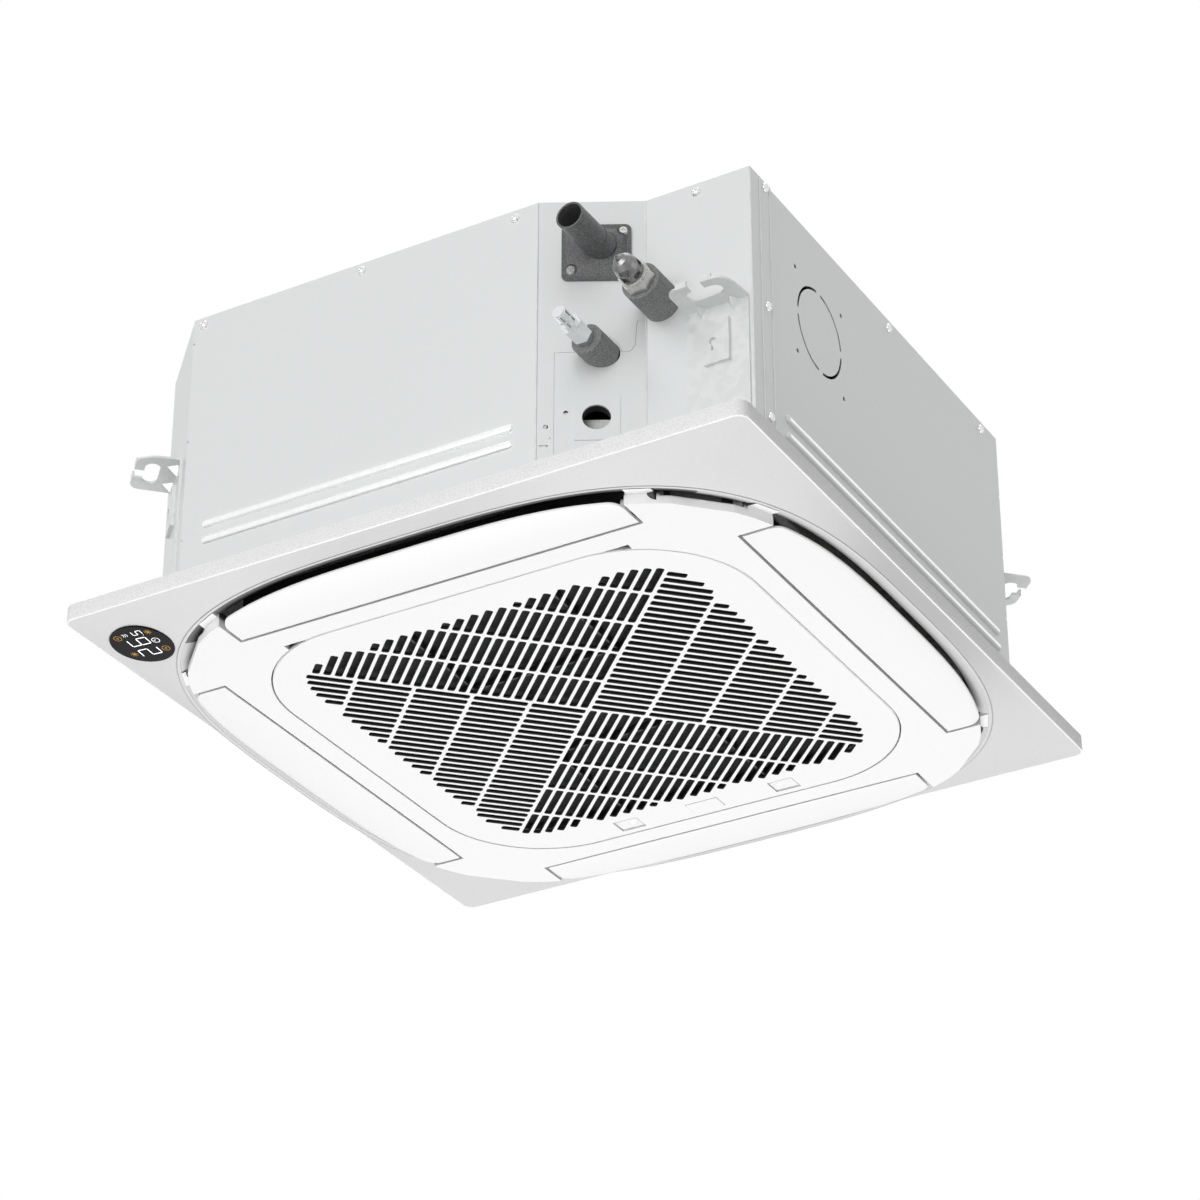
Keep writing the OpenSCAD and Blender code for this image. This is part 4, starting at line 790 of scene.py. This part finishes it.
class NodeGroup(Nodes):
    """A geometry node group with named number inputs."""

    def __init__(self, name: str, numbers: dict[Socket, float]) -> None:
        """Makes the group with a geometry input and output and its number inputs.

        Args:
            name: The group's name.
            numbers: The value of each number input, in millimetres.
        """
        super().__init__(bpy.data.node_groups.new(name, "GeometryNodeTree"))
        face = self.tree.interface
        face.new_socket("Geometry", in_out="INPUT", socket_type="NodeSocketGeometry")
        self.values: dict[str, float] = {}
        for key, value in numbers.items():
            item = face.new_socket(key.value, in_out="INPUT", socket_type="NodeSocketFloat")
            self.values[item.identifier] = value * MM
        face.new_socket("Geometry", in_out="OUTPUT", socket_type="NodeSocketGeometry")
        self.start = self.add("NodeGroupInput")
        self.end = self.add("NodeGroupOutput")

    def given(self, key: Socket) -> bpy.types.NodeSocket:
        """Finds what comes in through one of the group's inputs."""
        return self.start.outputs[key.value]

    def finish(self, out: bpy.types.NodeSocket, finish: Finish) -> None:
        """Ends the group with Realize Instances and Set Material.

        Args:
            out: The built geometry.
            finish: Its finish.
        """
        real = self.add("GeometryNodeRealizeInstances", Geometry=out)
        paint = self.add("GeometryNodeSetMaterial", Geometry=real.outputs["Geometry"],
                         Material=finish.build())
        self.fill(self.end, Geometry=paint.outputs["Geometry"])

    def apply(self, name: str, source: bpy.types.Mesh, body: str, slot: str) -> bpy.types.Object:
        """Runs the group on a source mesh and keeps the result as a plain piece.

        Args:
            name: The new piece's name.
            source: Points or lines that the group works on.
            body: The CAD body that carries the piece.
            slot: The record's material slot.

        Returns:
            The new object.
        """
        carrier = put(name + "_source", source)
        modifier = carrier.modifiers.new("build", "NODES")
        modifier.node_group = self.tree
        for key, value in self.values.items():
            modifier[key] = value
        bpy.context.view_layer.update()
        graph = bpy.context.evaluated_depsgraph_get()
        data = bpy.data.meshes.new_from_object(carrier.evaluated_get(graph))
        carrier.modifiers.clear()
        bpy.data.objects.remove(carrier)
        data.name = name
        return carry(name, data, body)


def box_sweep(name: str, wall: float, height: float, finish: Finish) -> NodeGroup:
    """Makes a group that sweeps an upright rectangle along level lines.

    Args:
        name: The group's name.
        wall: The rectangle's width, in millimetres.
        height: Its height, in millimetres.
        finish: The swept mesh's finish.

    Returns:
        The finished group.
    """
    group = NodeGroup(name, {Socket.WALL: wall, Socket.HEIGHT: height})
    curve = group.add("GeometryNodeMeshToCurve", Mesh=group.given(Socket.SOURCE))
    level = group.add("GeometryNodeSetCurveNormal", Curve=curve.outputs["Curve"])
    level.mode = "Z_UP"
    profile = group.add("GeometryNodeCurvePrimitiveQuadrilateral", Width=group.given(Socket.WALL),
                        Height=group.given(Socket.HEIGHT))
    sweep = group.add("GeometryNodeCurveToMesh", Curve=level.outputs["Curve"],
                      Profile_Curve=profile.outputs["Curve"])
    group.finish(sweep.outputs["Mesh"], finish)
    return group


@dataclass
class SlotLining:
    """Black lining of every grille slot, swept round each slot's outline by geometry nodes."""

    pitch: float = 9.38
    width: float = 6.5
    corner: float = 2.0
    rib_pitch: float = 49.0
    rib: float = 3.2
    rows: int = 29
    columns: int = 6
    half: Pair = (189.0, 183.0)
    round_r: float = 62.0
    longest: float = 432.0
    least: float = 1.5
    shift: Pair = (-0.45, -1.1)
    recess: float = 0.08
    wall: float = 0.3
    depth: float = 2.85

    def _inside(self, a: float, b: float) -> bool:
        """Tells whether a point lies in the grille's rounded field.

        Args:
            a: The point's place along the slots.
            b: Its place across them.

        Returns:
            True if it does.
        """
        x, y = abs(a + b) / math.sqrt(2), abs(b - a) / math.sqrt(2)
        dx = max(x - self.half[0] + self.round_r, 0.0)
        dy = max(y - self.half[1] + self.round_r, 0.0)
        return dx * dx + dy * dy <= self.round_r ** 2

    def _reach(self, b: float) -> float:
        """Finds the length of the field by halving.

        Args:
            b: The place across the slots.

        Returns:
            The length along them.
        """
        low, high = 0.0, self.longest
        for _ in range(14):
            mid = (low + high) / 2
            low, high = (mid, high) if self._inside(mid, b) else (low, mid)
        return low

    def _slots(self) -> list[Point]:
        """Lists the slots of one quarter.

        Returns:
            Start, end and place across of every slot.
        """
        found = []
        for k in range(self.rows):
            b = -(self.rib + self.width) / 2 - k * self.pitch
            far = min(self._reach(b - self.width / 2), self._reach(b + self.width / 2))
            for m in range(self.columns):
                start = m * self.rib_pitch + self.rib / 2
                end = min((m + 1) * self.rib_pitch - self.rib / 2, far)
                if end - start > self.width + self.least:
                    found.append((start, end, b))
        return found

    def _outline(self, start: float, end: float, b: float) -> list[Pair]:
        """Goes round one slot, a little inside its wall.

        Args:
            start: The slot's start.
            end: Its end.
            b: Its place across the slots.

        Returns:
            The points of its outline.
        """
        inset = self.wall / 2
        w, h, r = (end - start) / 2 - inset, self.width / 2 - inset, self.corner - inset
        mid = (start + end) / 2
        points = []
        for quarter in range(4):
            cx = (w - r) * (1 if quarter in (0, 3) else -1)
            cy = (h - r) * (1 if quarter in (0, 1) else -1)
            for step in range(5):
                x, y = polar(math.radians(90 * quarter + 22.5 * step), r)
                points.append((mid + cx + x, b + cy + y))
        return points

    def build(self) -> bpy.types.Object:
        """Builds the linings of all four quarters on the grille's body.

        Returns:
            The linings as one piece.
        """
        z = GRILLE_Z + self.recess + self.depth / 2
        lines = []
        for quarter in range(4):
            c, q = polar(math.radians(90 * quarter - 45))
            lines += [[(c * x - q * y + self.shift[0], q * x + c * y + self.shift[1], z)
                       for x, y in self._outline(*slot)] for slot in self._slots()]
        group = box_sweep("line_slots", self.wall, self.depth, SLOT_BLACK)
        loops = line_mesh("slot_loops", lines)
        return group.apply("slot_lining", loops, "grille_body", "black_plastic")


@dataclass
class WindowLines:
    """Thin grey seams round the latch windows and the badge, swept by geometry nodes."""

    width: float = 0.6
    height: float = 0.12
    row: float = 200.0
    # Middle, width and depth of each window in the row
    boxes: tuple[Point, ...] = ((-76.0, 22.8, 17.8), (76.0, 22.8, 17.8), (-0.8, 30.4, 16.4))

    def build(self) -> bpy.types.Object:
        """Builds the three outlines on the grille's body.

        Returns:
            The outlines as one piece.
        """
        corners = ((-1, -1), (1, -1), (1, 1), (-1, 1))
        lines = [[(middle + i * wide / 2, self.row + j * deep / 2, GRILLE_Z) for i, j in corners]
                 for middle, wide, deep in self.boxes]
        group = box_sweep("line_windows", self.width, self.height, SEAM)
        loops = line_mesh("window_loops", lines)
        return group.apply("window_lines", loops, "grille_body", "white_plastic")


@dataclass
class Beads:
    """Rounded stiffening beads pressed out of the casing's two visible walls."""

    width: float = 7.2
    rise: float = 2.6
    steps: int = 10
    heights: Pair = (39.8, 54.8)
    front: Pair = (-191.0, 93.0)
    right: Pair = (-188.5, 192.0)
    right_lift: float = 0.4
    # Share of the rise above which the +X wall's beads are bright
    crest: float = 0.93

    def _bead(self, bm: bmesh.types.BMesh, place: Matrix, ends: Pair, height: float) -> None:
        """Adds one bead along local X that rises along local Z.

        Args:
            bm: The beads' mesh.
            place: The wall's place.
            ends: Where the bead starts and ends.
            height: Its height on the wall.
        """
        half = self.width / 2
        rows = []
        for i in range(-self.steps, self.steps + 1):
            t = i / self.steps
            rows.append((half * t, self.rise * max(0.0, 1 - t * t) ** 0.38))
        tips = [polar(math.radians(a)) for a in range(0, 91, 15)]
        spine = [(ends[0] - half * c, q) for c, q in tips]
        spine += [(ends[1] + half * c, q) for c, q in reversed(tips)]
        loops = [[bm.verts.new(place @ Vector((x, height + y * k, z * k - 0.02))) for y, z in rows]
                 for x, k in spine]
        bridge(bm, loops, closed=False)

    def build(self) -> bpy.types.Object:
        """Builds the two pairs of beads.

        Returns:
            The beads as one piece.
        """
        bm = bmesh.new()
        upright = Matrix.Rotation(math.radians(90), 4, "X")
        sideways = Matrix.Rotation(math.radians(90), 4, "Z") @ upright
        for height in self.heights:
            self._bead(bm, Matrix.Translation((0, -CASING_HALF, 0)) @ upright, self.front, height)
        bright = len(bm.faces)
        for height in self.heights:
            self._bead(bm, Matrix.Translation((CASING_HALF, 0, 0)) @ sideways, self.right,
                       height + self.right_lift)
        bm.faces.ensure_lookup_table()
        for face in bm.faces[bright:]:
            above = face.calc_center_median().x - CASING_HALF
            face.material_index = 0 if above > self.crest * self.rise else 1
        bmesh.ops.remove_doubles(bm, verts=bm.verts, dist=0.01)
        bmesh.ops.recalc_face_normals(bm, faces=bm.faces)
        for face in bm.faces:
            face.smooth = True
        bmesh.ops.scale(bm, vec=(MM, MM, MM), verts=bm.verts)
        return mesh_piece("pressed_beads", bm, "cassette", "galvanised_sheet", BEAD_STEEL, GALVANISED)


@dataclass
class Folds:
    """Bright rounded folds along the casing's upright edges, swept by geometry nodes."""

    low: float = 15.6
    high: float = 259.4
    radius: float = 0.85
    places: tuple[Pair, ...] = ((117.3, -285.0), (192.4, -244.3), (285.8, -244.3),
                                (286.1, -228.8), (286.1, -211.8))

    def build(self) -> bpy.types.Object:
        """Builds the five folds.

        Returns:
            The folds as one piece.
        """
        lines = [[(x, y, self.low), (x, y, self.high)] for x, y in self.places]
        group = NodeGroup("sweep_folds", {Socket.RADIUS: self.radius})
        curve = group.add("GeometryNodeMeshToCurve", Mesh=group.given(Socket.SOURCE))
        profile = group.add("GeometryNodeCurvePrimitiveCircle", Resolution=12,
                            Radius=group.given(Socket.RADIUS))
        sweep = group.add("GeometryNodeCurveToMesh", Curve=curve.outputs["Curve"],
                          Profile_Curve=profile.outputs["Curve"], Fill_Caps=True)
        group.finish(sweep.outputs["Mesh"], BRIGHT_SHEET)
        source = line_mesh("fold_lines", lines, closed=False)
        return group.apply("casing_folds", source, "cassette", "galvanised_sheet")


@dataclass
class ScrewHeads:
    """Domed screw heads with cross recesses, placed on the casing's screws by geometry nodes."""

    radius: float = 4.2
    dome: float = 2.6
    hanger_wall: float = 244.5
    # Distances and heights of the dome's rings, as shares of the radius and the dome
    rings: tuple[Pair, ...] = ((1.0, 0.0), (1.0, 0.16), (0.93, 0.44), (0.76, 0.72), (0.5, 0.9),
                               (0.3, 0.97))
    # The same for the recess, in its four arms and between them
    recess: tuple[Pair, Pair] = ((0.24, 0.32), (0.14, 0.86))
    steps: int = 24

    def _places(self) -> list[tuple[Point, Point]]:
        """Lists the casing's screws.

        Returns:
            Seat and outward direction of every screw.
        """
        w, h = CASING_HALF, self.hanger_wall
        places: list[tuple[Point, Point]] = [((x, -w, 252.4), (0, -1, 0)) for x in (-205.8, -49.6, 95.8)]
        places += [((w, y, 252.0), (1, 0, 0)) for y in (2.7, 182.7)]
        places += [((x, w, 252.0), (0, 1, 0)) for x in (-180.0, 0.0, 180.0)]
        places += [((-w, y, 252.0), (-1, 0, 0)) for y in (-180.0, 0.0, 180.0)]
        places += [((w + 1, 25.5 - h, z), (1, 0, 0)) for z in (254.8, 141.4, 39.8)]
        places.append(((238.0, -h, 252.0), (0, -1, 0)))
        return places

    def _head(self) -> bpy.types.Object:
        """Builds one head of unit radius and height with a cross recess.

        Returns:
            The head, as an object to be instanced.
        """
        bm = bmesh.new()
        angles = [2 * math.pi * i / self.steps for i in range(self.steps)]
        loops = [[bm.verts.new((*polar(a, r), z)) for a in angles] for r, z in self.rings]
        cross = []
        for i, angle in enumerate(angles):
            reach, deep = self.recess[0 if i % 6 in (0, 1, 5) else 1]
            cross.append(bm.verts.new((*polar(angle, reach), deep)))
        bridge(bm, loops + [cross])
        bm.faces.new(cross)
        bm.faces.new(loops[0][::-1])
        crease(bm, 40.0)
        return put("screw_head", plain_mesh("screw_head", bm))

    def build(self) -> bpy.types.Object:
        """Builds all heads over the CAD screws.

        Returns:
            The heads as one piece.
        """
        places = self._places()
        data = line_mesh("screw_points", [[seat] for seat, _ in places], closed=False)
        facing = data.attributes.new("facing", "FLOAT_VECTOR", "POINT")
        for item, (_, out) in zip(facing.data, places):
            item.vector = out
        head = self._head()
        group = NodeGroup("set_screw_heads", {Socket.RADIUS: self.radius, Socket.DOME: self.dome})
        named = group.add("GeometryNodeInputNamedAttribute", Name="facing")
        named.data_type = "FLOAT_VECTOR"
        align = group.add("FunctionNodeAlignRotationToVector", Vector=named.outputs["Attribute"])
        align.axis = "Z"
        radius = group.given(Socket.RADIUS)
        size = group.add("ShaderNodeCombineXYZ", X=radius, Y=radius, Z=group.given(Socket.DOME))
        info = group.add("GeometryNodeObjectInfo", Object=head)
        place = group.add("GeometryNodeInstanceOnPoints", Points=group.given(Socket.SOURCE),
                          Instance=info.outputs["Geometry"], Rotation=align.outputs["Rotation"],
                          Scale=size.outputs["Vector"])
        group.finish(place.outputs["Instances"], SCREW)
        piece = group.apply("casing_screw_heads", data, "cassette", "plated_steel")
        bpy.data.objects.remove(head)
        return piece


@dataclass
class Display:
    """Round temperature display, with digits and marks a little proud of the lens."""

    centre: Point = (-267.6, -258.3, -20.6)
    bearing: float = 225.0
    tilt: float = 5.9
    face: float = 0.7
    thickness: float = 0.12
    stroke: float = 0.85
    shift: Pair = (1.5, -1.5)

    def _place(self) -> Matrix:
        """Turns display coordinates into the shared frame.

        Returns:
            The matrix from X and Y offsets and heights out of the face to metres.
        """
        bearing = math.radians(self.bearing)
        out = Matrix.Rotation(bearing, 4, "Z") @ Matrix.Rotation(math.radians(180 - self.tilt), 4, "Y")
        back = Matrix.Rotation(math.radians(-180), 4, "Y") @ Matrix.Rotation(-bearing, 4, "Z")
        return Matrix.Scale(MM, 4) @ Matrix.Translation(self.centre) @ out @ back

    def _slab(self, bm: bmesh.types.BMesh, outline: list[Vector]) -> None:
        """Adds a thin plate on the lens.

        Args:
            bm: The marks' mesh.
            outline: The plate's outline.
        """
        dx, dy = self.shift
        low, high = -self.face + 0.02, -self.face - self.thickness
        lower = [bm.verts.new((p.x + dx, p.y + dy, low)) for p in outline]
        upper = [bm.verts.new((p.x + dx, p.y + dy, high)) for p in outline]
        bm.faces.new(lower)
        bm.faces.new(upper[::-1])
        for i in range(len(outline)):
            j = (i + 1) % len(outline)
            bm.faces.new((lower[j], lower[i], upper[i], upper[j]))

    def _bar(self, bm: bmesh.types.BMesh, a: Pair, b: Pair, width: float) -> None:
        """Adds one stroke with pointed ends.

        Args:
            bm: The marks' mesh.
            a: The stroke's start.
            b: Its end.
            width: Its width.
        """
        start, end = Vector((*a, 0.0)), Vector((*b, 0.0))
        along = (end - start).normalized()
        side = Vector((-along.y, along.x, 0.0)) * width / 2
        start, end = start + along * width * 0.35, end - along * width * 0.35
        tip = along * width * 0.5
        self._slab(bm, [start - tip * 0.2, start + tip * 0.6 + side, end - tip * 0.6 + side,
                        end + tip * 0.2, end - tip * 0.6 - side, start + tip * 0.6 - side])

    def _digit(self, bm: bmesh.types.BMesh, segments: str, rows: Pair, columns: Pair,
               width: float) -> None:
        """Adds one seven-segment digit, whose top points to -X and which reads towards -Y.

        Args:
            bm: The marks' mesh.
            segments: Letters of the lit segments.
            rows: The digit's top and bottom.
            columns: Its left and right side.
            width: The strokes' width.
        """
        (top, bottom), (left, right) = rows, columns
        mid = (top + bottom) / 2
        ends = {"a": ((top, left), (top, right)), "b": ((top, right), (mid, right)),
                "c": ((mid, right), (bottom, right)), "d": ((bottom, left), (bottom, right)),
                "e": ((mid, left), (bottom, left)), "f": ((top, left), (mid, left)),
                "g": ((mid, left), (mid, right))}
        for name in segments:
            self._bar(bm, *ends[name], width)

    def _ring(self, bm: bmesh.types.BMesh, middle: Pair, radius: float, width: float) -> None:
        """Adds a flat ring.

        Args:
            bm: The marks' mesh.
            middle: The ring's middle.
            radius: Its outer radius.
            width: Its width.
        """
        steps, (x, y) = 28, middle
        for i in range(steps):
            a, b = 2 * math.pi * i / steps, 2 * math.pi * (i + 1) / steps
            corners = ((radius - width, a), (radius - width, b), (radius, b), (radius, a))
            self._slab(bm, [Vector((x + r * math.cos(t), y + r * math.sin(t), 0.0)) for r, t in corners])

    def _hand_over(self, name: str, bm: bmesh.types.BMesh, light: Glow) -> None:
        """Places the marks on the panel and makes them a piece.

        Args:
            name: The piece's name.
            bm: The marks' mesh.
            light: Their finish.
        """
        bmesh.ops.recalc_face_normals(bm, faces=bm.faces)
        bmesh.ops.transform(bm, matrix=self._place(), verts=bm.verts)
        mesh_piece(name, bm, "cassette", "black_plastic", light)

    def build(self) -> None:
        """Builds the white digits and marks, then the amber marks."""
        white = bmesh.new()
        self._digit(white, "abged", (-10.6, 7.5), (17.4, 8.2), self.stroke)
        self._digit(white, "afgedc", (-10.4, 7.5), (1.8, -7.6), self.stroke)
        self._digit(white, "afgcd", (0.4, 9.2), (-12.6, -17.8), 0.6)
        self._bar(white, (8.0, -10.6), (9.2, -10.6), 0.8)
        clock = (13.5, -0.4)
        self._ring(white, clock, 3.5, 0.4)
        self._bar(white, clock, (11.4, -0.4), 0.35)
        self._bar(white, clock, (13.5, -2.0), 0.35)
        for k in range(3):
            bend = (-8.2 + 1.8 * k, -15.2)
            self._bar(white, (-9.2 + 1.8 * k, -13.0), bend, 0.3)
            self._bar(white, bend, (-9.2 + 1.8 * k, -17.2), 0.3)
        self._hand_over("display_digits", white, WHITE_LIGHT)
        amber = bmesh.new()
        for middle in ((14.2, 12.9), (-15.2, -13.2)):
            self._ring(amber, middle, 3.5, 0.35)
            self._ring(amber, middle, 1.0, 0.3)
        for x, y in ((14.7, -13.3), (-16.6, 11.9)):
            for k in range(4):
                c, s = polar(math.pi * k / 4, 3.4)
                self._bar(amber, (x - c, y - s), (x + c, y + s), 0.32)
        self._hand_over("display_marks", amber, AMBER_LIGHT)


@dataclass
class Studio:
    """Plain pale floor far below, soft lamps and the camera at the photograph's place."""

    camera_at: Point = (1.3790, -2.3719, -1.5119)
    azimuth: float = 30.0
    elevation: float = 30.0
    focal_px: float = 3774.185
    frame_px: float = 1200.0
    sensor: float = 36.0
    floor_z: float = -4.0
    floor_half: float = 30.0
    world_light: float = 0.26
    aim: Point = (0.0, 0.0, 0.1)
    # Name, place, width and power of each lamp, in metres and watts
    lamps: tuple[tuple[str, Point, float, float], ...] = (
        ("lamp_front", (0.1, -4.6, 0.0), 3.0, 106.0),
        ("lamp_right", (3.8, 0.9, -0.1), 2.5, 9.0),
        ("lamp_below", (-0.1, 0.5, -3.6), 3.2, 112.0),
        ("lamp_top", (0.0, 0.5, 3.5), 3.0, 30.0),
    )

    def build(self) -> None:
        """Builds floor, world, lamps and camera."""
        self._floor()
        self._world()
        for name, at, size, power in self.lamps:
            self._lamp(name, at, size, power)
        data = bpy.data.cameras.new("camera")
        data.sensor_width = self.sensor
        data.lens = self.sensor * self.focal_px / self.frame_px
        data.clip_end = 100.0
        camera = put("camera", data)
        camera.location = self.camera_at
        camera.rotation_euler = (math.radians(90 + self.elevation), 0.0, math.radians(self.azimuth))
        bpy.context.scene.camera = camera
        bpy.context.scene.view_settings.view_transform = "Standard"

    def _floor(self) -> None:
        """Builds the pale floor."""
        bm = bmesh.new()
        bmesh.ops.create_grid(bm, x_segments=1, y_segments=1, size=self.floor_half)
        bmesh.ops.translate(bm, verts=bm.verts, vec=(0.0, 0.0, self.floor_z))
        floor = put("floor", plain_mesh("floor", bm))
        floor.data.materials.append(FloorFinish("pale_floor", 0.85, 0.55).build())

    def _world(self) -> None:
        """Lights the scene evenly and shows the camera a white background."""
        world = bpy.data.worlds.new("studio")
        world.use_nodes = True
        bpy.context.scene.world = world
        nodes = Nodes(world.node_tree)
        nodes.fill(world.node_tree.nodes["Background"], Color=(1.0, 1.0, 1.0, 1.0),
                   Strength=nodes.by_ray(self.world_light, 1.0))

    def _lamp(self, name: str, at: Point, size: float, power: float) -> None:
        """Adds one square soft lamp aimed at the object.

        Args:
            name: The lamp's name.
            at: Its place.
            size: Its width.
            power: Its power.
        """
        data = bpy.data.lights.new(name, "AREA")
        data.shape = "SQUARE"
        data.size = size
        data.energy = power
        lamp = put(name, data)
        lamp.location = at
        aim = Vector(self.aim) - Vector(at)
        lamp.rotation_euler = aim.to_track_quat("-Z", "Y").to_euler()


def main() -> None:
    """Builds every sub-assembly in order."""
    logging.basicConfig(level=logging.INFO)
    Studio().build()
    dress_nodes()
    PanelRing().build()
    for side, turn in (("front", 0.0), ("right", 90.0), ("back", 180.0), ("left", 270.0)):
        Flap().build(f"outlet_flap_{side}", f"flap_{side}", f"flap_{side}_body", turn)
    WindowLines().build()
    Beads().build()
    Folds().build()
    ScrewHeads().build()
    SlotLining().build()
    Display().build()


if __name__ == "__main__":
    main()
